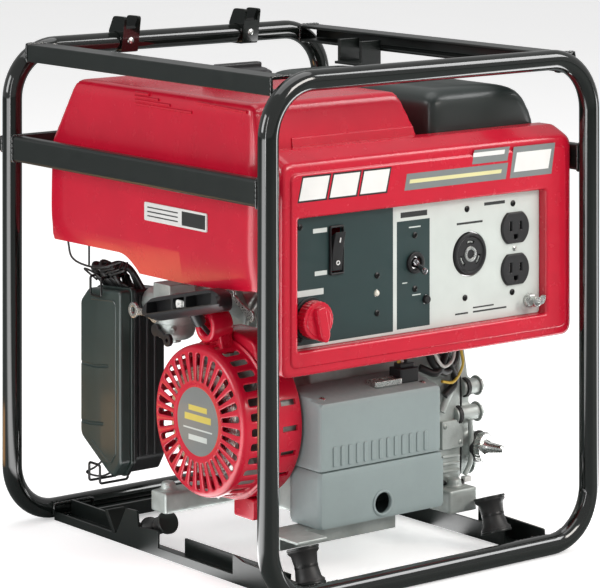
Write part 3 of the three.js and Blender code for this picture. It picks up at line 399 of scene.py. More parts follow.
def join(*bms):
    """One bmesh that holds all of them."""
    first = bms[0]
    for other in bms[1:]:
        mesh = bpy.data.meshes.new("work")
        other.to_mesh(mesh)
        other.free()
        first.from_mesh(mesh)
        bpy.data.meshes.remove(mesh)
    return first


def placed(bm, place=(0, 0, 0), direction=(0, 0, 1)):
    """Turns a shape drawn along +Z to face a direction and moves it."""
    turn = Vector(direction).to_track_quat("Z", "Y").to_matrix().to_4x4()
    return moved(bm, Matrix.Translation(place) @ turn)


def lathe(profile, place=(0, 0, 0), direction=(0, 0, 1), steps=48, closed=False):
    """A profile of (distance along the axis, radius) turned about it; capped, or closed on itself."""
    bm = bmesh.new()
    rings = []
    for along, radius in profile:
        if radius < 1e-6:
            rings.append([bm.verts.new((0, 0, along))])
        else:
            rings.append([bm.verts.new((x, y, along)) for x, y in circle(0, 0, radius, steps)])
    for first, second in zip(rings, rings[1:] + (rings[:1] if closed else [])):
        for i in range(steps):
            j = (i + 1) % steps
            corners = [first[i % len(first)], first[j % len(first)], second[j % len(second)],
                       second[i % len(second)]]
            unique = list(dict.fromkeys(corners))
            if len(unique) > 2:
                bm.faces.new(unique)
    for ring in () if closed else (rings[0], rings[-1]):
        if len(ring) > 1:
            bm.faces.new(ring)
    bmesh.ops.recalc_face_normals(bm, faces=bm.faces)
    return placed(bm, place, direction)


def bent_path(corners, radius, steps=8, closed=False):
    """Points along straight runs joined by round bends."""
    points = [Vector(corner) for corner in corners]
    path = []
    for i, here in enumerate(points):
        if not closed and i in (0, len(points) - 1):
            path.append(here)
            continue
        into = (here - points[i - 1]).normalized()
        out = (points[(i + 1) % len(points)] - here).normalized()
        bend = into.angle(out)
        if bend < 1e-3:
            path.append(here)
            continue
        start = here - into * radius * tan(bend / 2)
        side = (out - into * cos(bend)).normalized()
        for k in range(steps + 1):
            angle = bend * k / steps
            path.append(start + into * radius * sin(angle) + side * radius * (1 - cos(angle)))
    return path


def spline(corners, steps=8):
    """Points along a smooth curve that passes through the corners."""
    inner = [Vector(corner) for corner in corners]
    points = [inner[0] * 2 - inner[1], *inner, inner[-1] * 2 - inner[-2]]
    path = []
    for a, b, c, d in zip(points, points[1:], points[2:], points[3:]):
        for k in range(steps):
            t = k / steps
            square, cube = a * 2 - b * 5 + c * 4 - d, b * 3 - a - c * 3 + d
            path.append((b * 2 + (c - a) * t + square * t ** 2 + cube * t ** 3) / 2)
    return path + [inner[-1]]


def sweep(path, radius, sides=16, closed=False):
    """A round rod along points; radius is a number or one number a point."""
    bm = bmesh.new()
    path = [Vector(point) for point in path]
    count = len(path)
    radii = radius if hasattr(radius, "__len__") else [radius] * count
    side = None
    rings = []
    for i, here in enumerate(path):
        before = path[i - 1] if i or closed else here
        after = path[(i + 1) % count] if i < count - 1 or closed else here
        along = (after - before).normalized()
        side = along.orthogonal() if side is None else side - along * side.dot(along)
        side.normalize()
        up = along.cross(side)
        rings.append([bm.verts.new(here + (side * x + up * y) * radii[i]) for x,
                      y in circle(0, 0, 1, sides)])
    pairs = list(zip(rings, rings[1:]))
    if closed:
        twist = min(range(sides), key=lambda k: (rings[-1][0].co - rings[0][k].co).length)
        pairs.append((rings[-1], rings[0][twist:] + rings[0][:twist]))
    for first, second in pairs:
        for i in range(sides):
            j = (i + 1) % sides
            bm.faces.new((first[i], first[j], second[j], second[i]))
    if not closed:
        bm.faces.new(rings[0])
        bm.faces.new(rings[-1])
    bmesh.ops.recalc_face_normals(bm, faces=bm.faces)
    return bm


def soft_body(low, high, trims=(), blend=1.2, spacing=3.0, core=0.4):
    """A box with smoothly rounded edges, cut back by trims of (point on the plane, outward normal).

    Every grid point of the box is pulled in along a ray from an inner core until it meets the rounded
    surface, where the soft maximum of its distances to all the planes is zero.
    """
    low, high = np.array(low, float), np.array(high, float)
    normals = [np.eye(3)[k] * sign for k in range(3) for sign in (-1, 1)]
    offsets = [n @ (high if n.sum() > 0 else low) for n in normals]
    for point, normal in trims:
        unit = np.array(normal, float) / np.linalg.norm(normal)
        normals.append(unit)
        offsets.append(unit @ np.array(point, float))
    normals, offsets = np.array(normals), np.array(offsets)
    counts = np.maximum(np.round((high - low) / spacing).astype(int), 4)
    index, grid, faces = {}, [], []

    def vertex(key):
        if key not in index:
            index[key] = len(grid)
            grid.append(low + (high - low) * np.array(key) / counts)
        return index[key]

    for k in range(3):
        a, b = (k + 1) % 3, (k + 2) % 3
        for end in (0, counts[k]):
            for i in range(counts[a]):
                for j in range(counts[b]):
                    corners = []
                    for di, dj in ((0, 0), (1, 0), (1, 1), (0, 1)):
                        key = [0, 0, 0]
                        key[k], key[a], key[b] = int(end), i + di, j + dj
                        corners.append(vertex(tuple(key)))
                    faces.append(corners if end else corners[::-1])
    grid = np.array(grid)
    centre, half = (low + high) / 2, (high - low) / 2
    inner = np.clip(grid, centre - half * core, centre + half * core)
    ray = grid - inner
    near, far = np.zeros(len(grid)), np.full(len(grid), 1.02)
    for _ in range(36):
        half_way = (near + far) / 2
        gap = ((inner + ray * half_way[:, None]) @ normals.T - offsets) / blend
        outside = np.log(np.exp(np.minimum(gap, 60)).sum(1)) > 0
        far = np.where(outside, half_way, far)
        near = np.where(outside, near, half_way)
    bm = bmesh.new()
    verts = [bm.verts.new(point) for point in inner + ray * near[:, None]]
    for corners in faces:
        bm.faces.new([verts[i] for i in corners])
    return bm


def carved(target, *tools, operation="DIFFERENCE"):
    """A solid with tools cut from it, joined to it or shared with it."""
    made = as_object(target)
    helpers = [as_object(tool) for tool in tools]
    for helper in helpers:
        cutter = made.modifiers.new("cut", "BOOLEAN")
        cutter.operation = operation
        cutter.solver = "EXACT"
        cutter.object = helper
    bm = mesh_of(made)
    for helper in helpers:
        bpy.data.objects.remove(helper)
    return bm


def loft(rings, closed=False):
    """Closed rings with the same number of points, joined in order; capped, or closed on itself."""
    bm = bmesh.new()
    made = [[bm.verts.new(point) for point in ring] for ring in rings]
    for first, second in zip(made, made[1:] + (made[:1] if closed else [])):
        for i in range(len(first)):
            j = (i + 1) % len(first)
            bm.faces.new((first[i], first[j], second[j], second[i]))
    if not closed:
        bm.faces.new(made[0])
        bm.faces.new(made[-1])
    bmesh.ops.recalc_face_normals(bm, faces=bm.faces)
    return bm


def softened(bm, width, segments=2, angle=40):
    """Rounds the edges sharper than angle with a bevel modifier."""
    made = as_object(bm)
    bevel = made.modifiers.new("round", "BEVEL")
    bevel.width = width
    bevel.segments = segments
    bevel.limit_method = "ANGLE"
    bevel.angle_limit = radians(angle)
    return mesh_of(made)


def hex_bolt(place, direction, across=10, height=6, washer=True):
    """A hexagon head with a chamfered crown on a washer."""
    radius = across / 2 / cos(pi / 6)
    head = lathe([(0, 0), (0, radius), (height * 0.8, radius), (height, across * 0.42),
                  (height, 0)], steps=6)
    bmesh.ops.translate(head, vec=(0, 0, 1 if washer else 0), verts=head.verts)
    parts = [head]
    if washer:
        parts.append(lathe([(0, 0), (0, across * 0.78), (0.8, across * 0.8), (1.2, across * 0.72),
                            (1.2, 0)], steps=32))
    return placed(join(*parts), place, direction)


def cross_screw(place, direction, radius=4.0, height=2.2):
    """A round screw head with a cross recess."""
    dome = [(0, 0), (0, radius), (height * 0.45, radius), (height * 0.85, radius * 0.7),
            (height, radius * 0.35), (height, 0)]
    head = lathe(dome, steps=32)
    slot = radius * 0.16
    arms = [plate([rectangle(-radius * 0.6, -slot, radius * 0.6, slot)], "z", height * 0.35, height * 2,
                  0.02, 0), plate([rectangle(-slot, -radius * 0.6, slot, radius * 0.6)], "z", height * 0.35,
                                  height * 2, 0.02, 0)]
    return placed(carved(head, *arms), place, direction)


def resampled(path, spacing, closed=False):
    """The same path with points about every spacing millimetres."""
    points = [Vector(p) for p in path] + ([Vector(path[0])] if closed else [])
    result = []
    for first, second in zip(points, points[1:]):
        count = max(1, round((second - first).length / spacing))
        result += [first.lerp(second, k / count) for k in range(count)]
    return result if closed else result + [points[-1]]


def refined(node, bevel=0.5, segments=2, sharp=32):
    """A CAD node's shape with its flat faces joined and its sharp edges rounded."""
    bm = bmesh.new()
    bm.from_mesh(frame["nodes"][node].data)
    bmesh.ops.scale(bm, vec=(1 / MM, 1 / MM, 1 / MM), verts=bm.verts)
    bmesh.ops.remove_doubles(bm, verts=bm.verts, dist=0.002)
    bmesh.ops.dissolve_limit(bm, angle_limit=radians(0.8), verts=bm.verts, edges=bm.edges)
    edges = [e for e in bm.edges if e.is_manifold and e.calc_face_angle() > radians(sharp)]
    bmesh.ops.bevel(bm, geom=edges, offset=bevel, segments=segments, profile=0.5, affect="EDGES",
                    clamp_overlap=True)
    return add_piece(node + "_shell", bm, BODY_OF[node], SLOT_OF[node], replaces=[node])


def cast(node, voxel=1.6, smooth=6, keep=0.35, extras=()):
    """A CAD node melted into one casting with soft edges, with crisp extras left as they are."""
    made = bpy.data.objects.new("work", frame["nodes"][node].data.copy())
    bpy.context.scene.collection.objects.link(made)
    melt = made.modifiers.new("melt", "REMESH")
    melt.mode = "VOXEL"
    melt.voxel_size = voxel * MM
    flow = made.modifiers.new("flow", "SMOOTH")
    flow.iterations = smooth
    thin = made.modifiers.new("thin", "DECIMATE")
    thin.ratio = keep
    bm = mesh_of(made)
    bmesh.ops.scale(bm, vec=(1 / MM, 1 / MM, 1 / MM), verts=bm.verts)
    return add_piece(node + "_casting", join(bm, *extras), BODY_OF[node], SLOT_OF[node], replaces=[node],
                     sharp=50, weighted=False)


def rod(start, end, radius, sides=24, bevel=0.5, end_radius=None):
    """A straight pin between two points with rounded ends."""
    start, end = Vector(start), Vector(end)
    length = (end - start).length
    last = radius if end_radius is None else end_radius
    profile = [(0, 0), (0, radius - bevel), (bevel * 0.3, radius - bevel * 0.3), (bevel, radius)]
    profile += [(length - bevel, last), (length - bevel * 0.3, last - bevel * 0.3),
                (length, last - bevel), (length, 0)]
    return lathe(profile, start, end - start, sides)


def tube_ring(place, direction, inner, outer, length, lip=1.0, steps=48):
    """A short tube with rounded lips."""
    profile = [(lip, inner), (lip * 0.3, inner + lip * 0.3), (0, inner + lip), (0, outer - lip),
               (lip * 0.3, outer - lip * 0.3), (lip, outer), (length - lip, outer),
               (length - lip * 0.3, outer - lip * 0.3), (length, outer - lip), (length, inner + lip),
               (length - lip * 0.3, inner + lip * 0.3), (length - lip, inner)]
    return lathe(profile, place, direction, steps, closed=True)


# ---------------------------------------------------------------- frame

BEND_RADIUS = 49


def frame_loops():
    """The two tube loops, each a closed run of straights and round bends."""
    for node in ("front_loop", "rear_loop"):
        s = Span(node)
        r = s.size.y / 2
        corners = [(s.x0 + r, s.mid.y, s.z0 + r), (s.x1 - r, s.mid.y, s.z0 + r),
                   (s.x1 - r, s.mid.y, s.z1 - r), (s.x0 + r, s.mid.y, s.z1 - r)]
        path = bent_path(corners, BEND_RADIUS, 14, closed=True)
        add_piece(node + "_tube", sweep(path, r, 40, closed=True), slot="black_gloss", replaces=[node])


def weld(corners, radius=1.6):
    """A rippled weld bead along a closed run of corners."""
    path = resampled(bent_path(corners, 2, 2, closed=True), 1.7, closed=True)
    return sweep(path, [radius * (1 + 0.16 * sin(2.3 * i)) for i in range(len(path))], 8, closed=True)


def weld_beads():
    """Beads round each bar's end, lying on the loop it is welded to."""
    beads = []
    for node in ("left_mid_bar", "right_mid_bar", "left_top_bar", "right_top_bar",
                 "left_rail", "right_rail"):
        s = Span(node)
        rail = node.endswith("rail")
        low, high = (s.z0 + 4, s.z0 + 15) if rail else (s.z0, min(s.z1, s.z0 + 25))
        for y, side in ((s.y0, -1), (s.y1, 1)):
            ring = [(s.x0, y, low), (s.x1, y, low), (s.x1, y, high), (s.x0, y, high)]
            beads.append(weld([(x, py + side * 0.4, z) for x, py, z in ring]))
    bar, loop = Span("rear_crossbar"), Span("rear_loop")
    for x in (loop.x0 + loop.size.y / 2, loop.x1 - loop.size.y / 2):
        half = 5.5
        beads.append(weld([(x - half, bar.y0, bar.z0), (x + half, bar.y0, bar.z0),
                           (x + half, bar.y0, bar.z1), (x - half, bar.y0, bar.z1)], 1.5))
    for node in ("left_stacking_lug", "right_stacking_lug"):
        s = Span(node)
        z = loop.z1 - 5
        for y, lean in ((loop.y0 + 1, -1), (loop.y1 - 1, 1)):
            beads.append(weld([(s.x0, y, z), (s.x1, y, z), (s.x1, y + lean * 0.5, z - 3),
                               (s.x0, y + lean * 0.5, z - 3)], 1.3))
    add_piece("weld_beads", join(*beads), slot="black_gloss", sharp=60)


def bars_and_rails():
    """Bars, rails, base plate and lugs with their edges rounded, and a rivet in each lug."""
    for side in ("left", "right"):
        for kind, bevel, segments in (("mid_bar", 1.8, 3), ("top_bar", 1.0, 3), ("rail", 0.6, 2),
                                      ("stacking_lug", 0.9, 3)):
            refined(side + "_" + kind, bevel, segments)
    refined("rear_crossbar", 1.6, 3)
    refined("rear_base_plate", 0.7)
    rivets = []
    for node in ("left_stacking_lug", "right_stacking_lug"):
        s = Span(node)
        rivets.append(lathe([(0, 0), (0, 3.6), (0.8, 3.2), (1.4, 1.8), (1.6, 0)],
                            (s.mid.x, s.y0 + 3.5, s.z0 + 12), (0, -1, 0.12), 24))
    add_piece("lug_rivets", join(*rivets), slot="steel")


def engine_mounts():
    """Each mount is a waisted rubber spool between two steel flanges, with a sleeve round its middle."""
    height, flange = 34, 2.2
    tilts = {"mount_front_left": -19, "mount_front_right": -19, "mount_rear_left": 68,
             "mount_rear_right": 68}
    flanges, sleeves = [], []
    for node, tilt in tilts.items():
        s = Span(node)
        radius = s.size.x / 2
        axis = Vector((0, -sin(radians(tilt)), cos(radians(tilt))))
        foot = s.mid - axis * height / 2
        waist = [(flange, 0), (flange, radius * 0.95), (flange + 2, radius * 0.97),
                 (flange + 4.5, radius * 0.80)]
        waist += [(height / 2, radius * 0.70), (height - flange - 4.5, radius * 0.80)]
        waist += [(height - flange - 2, radius * 0.97), (height - flange, radius * 0.95),
                  (height - flange, 0)]
        add_piece(node + "_rubber", lathe(waist, foot, axis, 40), slot="rubber", replaces=[node], sharp=60)
        for along in (0, height - flange):
            flanges.append(rod(foot + axis * along, foot + axis * (along + flange), radius, 40, 0.5))
        sleeves.append(rod(foot + axis * (height / 2 - 1.5), foot + axis * (height / 2 + 1.5),
                           radius * 0.73, 40, 0.5))
    add_piece("mount_flanges", join(*flanges), slot="black_satin")
    add_piece("mount_sleeves", join(*sleeves), slot="steel", look="dark_screw")


# ---------------------------------------------------------------- control panel


def panel_shell():
    """Rings from the back rim over the outside, down the window's lip and back along the inside."""
    s, p = Span("panel_box"), Span("face_plate")
    slope_depth, slope_drop = 22, 10

    def ring(depth, inset, window=False):
        if window:
            outline_2d = rectangle(p.x0 - 0.3 - inset, p.z0 - 0.3 - inset, p.x1 + 0.3 + inset,
                                   p.z1 + 0.3 + inset, 3 + inset * 0.6, 8)
        else:
            top = s.z1 - slope_drop * max(0, 1 - depth / slope_depth)
            outline_2d = rectangle(s.x0 + inset, s.z0 + inset, s.x1 - inset, top - inset,
                                   11 - inset * 0.4, 8)
        return [(u, s.y0 + depth, v) for u, v in outline_2d]

    rows = [(37.9, 2.8), (37.9, 0.7), (37.2, 0), (30, 0), (24, 0), (22.5, 0.05), (21, 0.1), (16, 0),
            (10, 0), (6, 0.1)]
    rows += [(4.2, 0.5), (2.8, 1.5), (2.1, 2.9), (1.8, 4.4), (1.8, 8.0), (1.6, 8.4), (0.3, 9.2), (0, 10.0)]
    rings = [ring(depth, inset) for depth, inset in rows]
    lip = [(0, 3.4), (0.15, 2.4), (0.6, 1.4), (1.4, 0.5), (2.6, 0.1), (4, 0), (12.8, 0),
           (12.8, 2.5), (4.5, 4.5)]
    rings += [ring(depth, grow, window=True) for depth, grow in lip]
    rings += [ring(4.5, 6), ring(8, 3), ring(37, 2.8)]
    bm = loft(rings, closed=True)
    add_piece("panel_shell", bm, slot="red_plastic", replaces=["panel_box"], sharp=40)


def panel_banner():
    """Generic stripes where a maker's lettering would be."""
    s = Span("panel_box")
    y0, y1 = s.y0 - 0.18, s.y0 + 0.1

    def slanted(x0, x1, z0, z1, slant=3.5):
        return [(x0, z0), (x1, z0), (x1 + slant, z1), (x0 + slant, z1)]

    white = [slanted(x, x + 30, 356, 376, 5) for x in (-148, -113, -78)]
    white += [slanted(57, 96, 378, 382, 1), slanted(108, 152, 360, 378, 4)]
    dark = [slanted(x - 1.6, x + 31.6, 354.4, 377.6, 5.4) for x in (-148, -113, -78)]
    grey = [slanted(-26, 98, 354.5, 369.5, 3), slanted(56, 100, 371.5, 384.5, 3),
            slanted(103, 156, 354.5, 383.5, 5)]
    yellow = [slanted(-20, 92, 360.5, 364, 0.8)]
    layers = (("edging", dark, 0.1, "black_plastic", "black_plastic"),
              ("grey", grey, 0.08, "plate", "label_grey"), ("white", white, 0, "plate", "label_white"),
              ("yellow", yellow, 0, "plate", "label_yellow"))
    for name, shapes, sunk, slot, look in layers:
        print_layer = join(*[prism([shape], "y", y0 + sunk, y1) for shape in shapes])
        add_piece("banner_" + name, print_layer, slot=slot, look=look)


# Where the controls stand on the plate, (x, z)
ROCKER = (-98, 307)
KNOB = (-128, 249)
BREAKER = (-5, 286)
TWIST = (62, 287)
DUPLEX_X = 118
DUPLEX_Z = (306, 267.1)
STUD = (136, 236)
LAMP = (-50, 263)
RESET = (8.5, 251)
PLATE_FRONT = Span("face_plate").y0 + 3  # the plate's flat front; bezels stand 3 mm proud


def duplex_outline(z, grow=0.0, steps=10):
    """A circle of the outlet's width with flat top and bottom."""
    radius, half = 17.05 + grow, 14.25 + grow
    corner = asin(half / radius)
    right = [-corner + 2 * corner * k / steps for k in range(steps + 1)]
    angles = right + [a + pi for a in right]
    return [(DUPLEX_X + radius * cos(a), z + radius * sin(a)) for a in angles]


def control_plate():
    """The printed plate with every opening cut through it."""
    s = Span("face_plate")
    holes = [rectangle(ROCKER[0] - 6.5, ROCKER[1] - 20, ROCKER[0] + 6.5, ROCKER[1] + 20, 0.8, 3),
             circle(*BREAKER, 6), circle(*KNOB, 4.2), circle(*LAMP, 3.5), circle(*RESET, 4.3),
             circle(*TWIST, 20.8, 64), duplex_outline(DUPLEX_Z[0], 0.3), duplex_outline(DUPLEX_Z[1], 0.3),
             circle(*STUD, 3.3)]
    outer = rectangle(s.x0, s.z0, s.x1, s.z1, 3, 6)
    add_piece("control_plate", plate([outer, *holes], "y", PLATE_FRONT, PLATE_FRONT + 2.5, 0.25, 1),
              slot="plate", look="printed_plate", replaces=["face_plate"])
    y = PLATE_FRONT
    bezel = [rectangle(ROCKER[0] - 8, ROCKER[1] - 22, ROCKER[0] + 8, ROCKER[1] + 22, 1.6, 5),
             rectangle(ROCKER[0] - 6.5, ROCKER[1] - 20, ROCKER[0] + 6.5, ROCKER[1] + 20, 0.8, 3)]
    surrounds = [
        plate(bezel, "y", y - 2.9, y + 0.6, 0.8, 3),
        tube_ring((BREAKER[0], y - 2.9, BREAKER[1]), (0, 1, 0), 6, 10, 3.6, 1.0),
        tube_ring((KNOB[0], y - 2, KNOB[1]), (0, 1, 0), 4.2, 19, 2.4, 0.8),
    ]
    add_piece("plate_surrounds", join(*surrounds), slot="black_plastic")
    screws = [(-50, 279), (-50, 245), (58.5, 329), (116, 329), (56, 247), (115, 246), (-5, 311), (-5, 262),
              (-139, 331), (-139, 232)]
    add_piece("plate_screws", join(*[cross_screw((x, y + 0.1, z), (0, -1, 0), 2.9, 1.5) for x,
                                     z in screws]), slot="black_plastic", look="dark_screw")


def rocker_switch():
    """The see-saw cap: two faces meeting over its pivot, with a raised white mark on each."""
    hinge = Vector((ROCKER[0], PLATE_FRONT, ROCKER[1]))
    tilt = Matrix.Rotation(radians(9), 4, "X")
    width, half = 5.9, 18.3
    cap = plate([outline([(-5, -half, 1.2), (-3.2, 0), (-5, half, 1.2), (9, 6), (9, -6)], 4)], "x",
                -width, width, 0.5, 3)
    marks = [
        prism([rectangle(-0.5, -2.2, 0.5, 2.2, 0.2, 2)], "y", -5.0, -4.2),
        lathe([(0, 1.3), (0, 2.1), (0.8, 2.1), (0.8, 1.3)], (0, -5.0, 0), (0, 1, 0), 24, closed=True),
    ]
    for bm, side in zip(marks, (1, -1)):
        bmesh.ops.translate(bm, vec=(0, 0, 11 * side), verts=bm.verts)
        moved(bm, Matrix.Translation((0, 0.6, 0)) @ Matrix.Rotation(radians(5.6 * side), 4, "X"))
    for bm in (cap, *marks):
        moved(bm, Matrix.Translation(hinge) @ tilt)
    add_piece("rocker_cap", cap, "rocker_switch", "black_plastic", replaces=["rocker_switch"])
    add_piece("rocker_marks", join(*marks), "rocker_switch", "plate", look="label_white")


def fluted(radius, depth, count, low, high, lip=1.0, steps=8):
    """A grip disc whose rim has count shallow flutes, with rounded lips."""
    def ring(z, inset):
        points = []
        for i in range(count * steps):
            angle = 2 * pi * i / (count * steps)
            r = radius - inset - depth * (0.5 - 0.5 * cos(angle * count)) ** 2
            points.append((r * cos(angle), r * sin(angle), z))
        return points
    return loft([ring(low, lip), ring(low + lip * 0.3, lip * 0.3), ring(low + lip, 0), ring(high - lip, 0),
                 ring(high - lip * 0.3, lip * 0.3), ring(high, lip)])


def engine_knob():
    """A red disc with a raised grip that runs out into a pointer, turned to its rest mark."""
    disc = fluted(17, 0.5, 28, 2.5, 13.5, 1.4, 6)
    dish = lathe([(13.2, 0), (13.2, 14), (14.4, 13.4), (15, 11), (14.6, 0)], steps=48)
    pointer = outline([(-5.2, 13, 4), (5.2, 13, 4), (5.2, -14, 3), (1.4, -19.2, 1.2), (-1.4, -19.2, 1.2),
                       (-5.2, -14, 3)])
    grip = plate([pointer], "z", 6, 21, 1.6, 4)
    parts = join(disc, dish, grip)
    face = Matrix.Rotation(radians(90), 4, "X")  # drawn facing +Z, turned to face -Y
    turn = Matrix.Rotation(radians(-12), 4, "Y")
    moved(parts, Matrix.Translation((KNOB[0], PLATE_FRONT, KNOB[1])) @ turn @ face)
    add_piece("engine_knob_grip", parts, "engine_knob", "red_plastic", replaces=["engine_knob"])


def small_controls():
    """The indicator lens, the breaker's toggle and the reset button."""
    y = PLATE_FRONT
    lens = [(0, 0), (0, 3.1), (11, 3.1), (12.6, 2.6), (13.4, 1.4), (13.6, 0)]
    add_piece("lamp_lens", lathe(lens, (LAMP[0], y + 12, LAMP[1]), (0, -1, 0), 32), slot="lamp_lens",
              replaces=["indicator_lamp"])
    lean = radians(24)
    down = Vector((0, -cos(lean), -sin(lean)))
    pivot = Vector((BREAKER[0], y, BREAKER[1]))
    lever = [(-9, 0), (-9, 2), (-4.2, 2.1), (-3.4, 3.6), (-1.8, 4.4), (0, 4.6), (2, 4.2), (4, 2.9),
             (6, 2.1), (13, 2.9), (15.6, 3.1), (16.6, 2.6), (17, 1.6), (17.1, 0)]
    add_piece("toggle_lever", lathe(lever, pivot, down, 32), "breaker_toggle", "steel", "dark_chrome",
              replaces=["breaker_toggle"])
    button = [(0, 0), (0, 3.9), (12, 3.9), (12.8, 3.5), (13, 2.6), (12.7, 0)]
    add_piece("reset_button_cap", lathe(button, (RESET[0], y + 10, RESET[1]), (0, -1, 0), 32),
              "reset_button", "black_plastic", replaces=["reset_button"])


def twist_lock_outlet():
    """A black round outlet with three curved slots, contacts inside them and a grey centre ring."""
    s = Span("twist_lock_outlet")
    x, z, radius = s.mid.x, s.mid.z, s.size.x / 2
    profile = [(24, 0), (24, radius - 1), (23, radius), (3, radius), (0.8, radius - 0.2), (0, radius - 1.2),
               (0, radius - 3)]
    profile += [(1.2, radius - 4.2), (1.2, 0)]
    body = lathe(profile, (x, s.y0, z), (0, 1, 0), 64)

    def slot(angle, half=0.42, inner=10.0, outer=12.8):
        outer_arc = [(outer, angle - half + 2 * half * k / 8) for k in range(9)]
        inner_arc = [(inner, angle + half - 2 * half * k / 8) for k in range(9)]
        return [(x + r * cos(a), z + r * sin(a)) for r, a in outer_arc + inner_arc]

    angles = [radians(degrees) for degrees in (90, 210, 330)]
    body = carved(body, *[prism([slot(a)], "y", s.y0 - 1, s.y0 + 9) for a in angles])
    add_piece("twist_lock_body", body, slot="black_plastic", replaces=["twist_lock_outlet"])
    contacts = [plate([slot(a, 0.30, 10.6, 12.2)], "y", s.y0 + 1.6, s.y0 + 8, 0.2, 1) for a in angles]
    contacts.append(tube_ring((x, s.y0 + 0.4, z), (0, 1, 0), 4.2, 7.2, 2.4, 0.5))
    add_piece("twist_lock_contacts", join(*contacts), slot="steel")


def duplex_outlets():
    """Two outlet faces, each with two blade slots and an earth hole over bright contacts."""
    contacts = []
    for node, z in zip(("upper_outlet", "lower_outlet"), DUPLEX_Z):
        s = Span(node)
        holes = [rectangle(DUPLEX_X + dx - 1.2, z + 2 - tall / 2, DUPLEX_X + dx + 1.2, z + 2 + tall / 2,
                           0.3, 2) for dx, tall in ((-6.3, 9), (6.3, 7.5))]
        earth = [(DUPLEX_X + 2.5 * cos(a), z - 8 + 2.5 * sin(a))
                 for a in [pi + pi * k / 10 for k in range(11)]]
        holes.append(earth + [(DUPLEX_X + 2.5, z - 6), (DUPLEX_X - 2.5, z - 6)])
        face = plate([duplex_outline(z), *holes], "y", s.y0, s.y0 + 9, 0.9, 3)
        back = plate([duplex_outline(z, -0.2)], "y", s.y0 + 9, s.y1, 0.3, 1)
        add_piece(node + "_face", join(face, back), slot="black_plastic", replaces=[node])
        for dx, tall in ((-6.3, 7), (6.3, 5.6)):
            contacts.append(plate([rectangle(DUPLEX_X + dx - 0.5, z + 2 - tall / 2, DUPLEX_X + dx + 0.5,
                                             z + 2 + tall / 2)], "y", s.y0 + 2, s.y0 + 9, 0.1, 1))
    middle = (DUPLEX_Z[0] + DUPLEX_Z[1]) / 2
    contacts.append(cross_screw((DUPLEX_X, PLATE_FRONT - 0.1, middle), (0, -1, 0), 2.4, 1.2))
    add_piece("outlet_contacts", join(*contacts), slot="steel")


def threaded(length, radius, pitch=1.0):
    """A stud's profile: ridges all along it and a chamfered end."""
    profile = [(0, 0), (0, radius)]
    for k in range(int(length / pitch)):
        profile += [((k + 0.3) * pitch, radius), ((k + 0.8) * pitch, radius - 0.45)]
    return profile + [(length, radius - 0.9), (length, 0)]


def ground_terminal():
    """A threaded stud with a washer and a nut, and the wing nut on it."""
    x, z = STUD
    y = PLATE_FRONT
    shank = lathe(threaded(26.5, 3), (x, y + 9.6, z), (0, -1, 0), 28)
    washer = rod((x, y - 0.3, z), (x, y - 1.9, z), 6.9, 40, 0.4)
    nut = lathe([(0, 0), (0, 6.4), (3.2, 6.6), (3.9, 5.6), (3.9, 0)], (x, y - 1.9, z), (0, -1, 0), 6)
    add_piece("ground_stud_thread", join(shank, washer, nut), slot="steel", replaces=["ground_stud"])
    hub = tube_ring((x, y - 6.1, z), (0, -1, 0), 3.3, 5, 6.8, 0.6)
    wing = outline([(3.6, -3, 0.8), (10, -3.2, 1.6), (12.7, 1, 1.6), (12.6, 5, 1.2), (9.6, 4.8, 1.2),
                    (7, 2.2, 1), (3.6, 2.6, 0.8)])
    wings = []
    for mirror in (1, -1):
        flat = prism([[(x + mirror * u, z + v) for u, v in wing[::mirror]]], "y", y - 10.3, y - 7.6)
        wings.append(softened(flat, 0.5))
    add_piece("wing_nut", join(hub, *wings), "ground_wing_nut", "steel", replaces=["ground_wing_nut"])


# ---------------------------------------------------------------- tank, cap and muffler cover


FILLER = (-64, 6.85)  # the middle of the tank's filler neck, (x, y)
DRAWN_FRONT = -152  # where the tank's front stands in its drawn side outlines


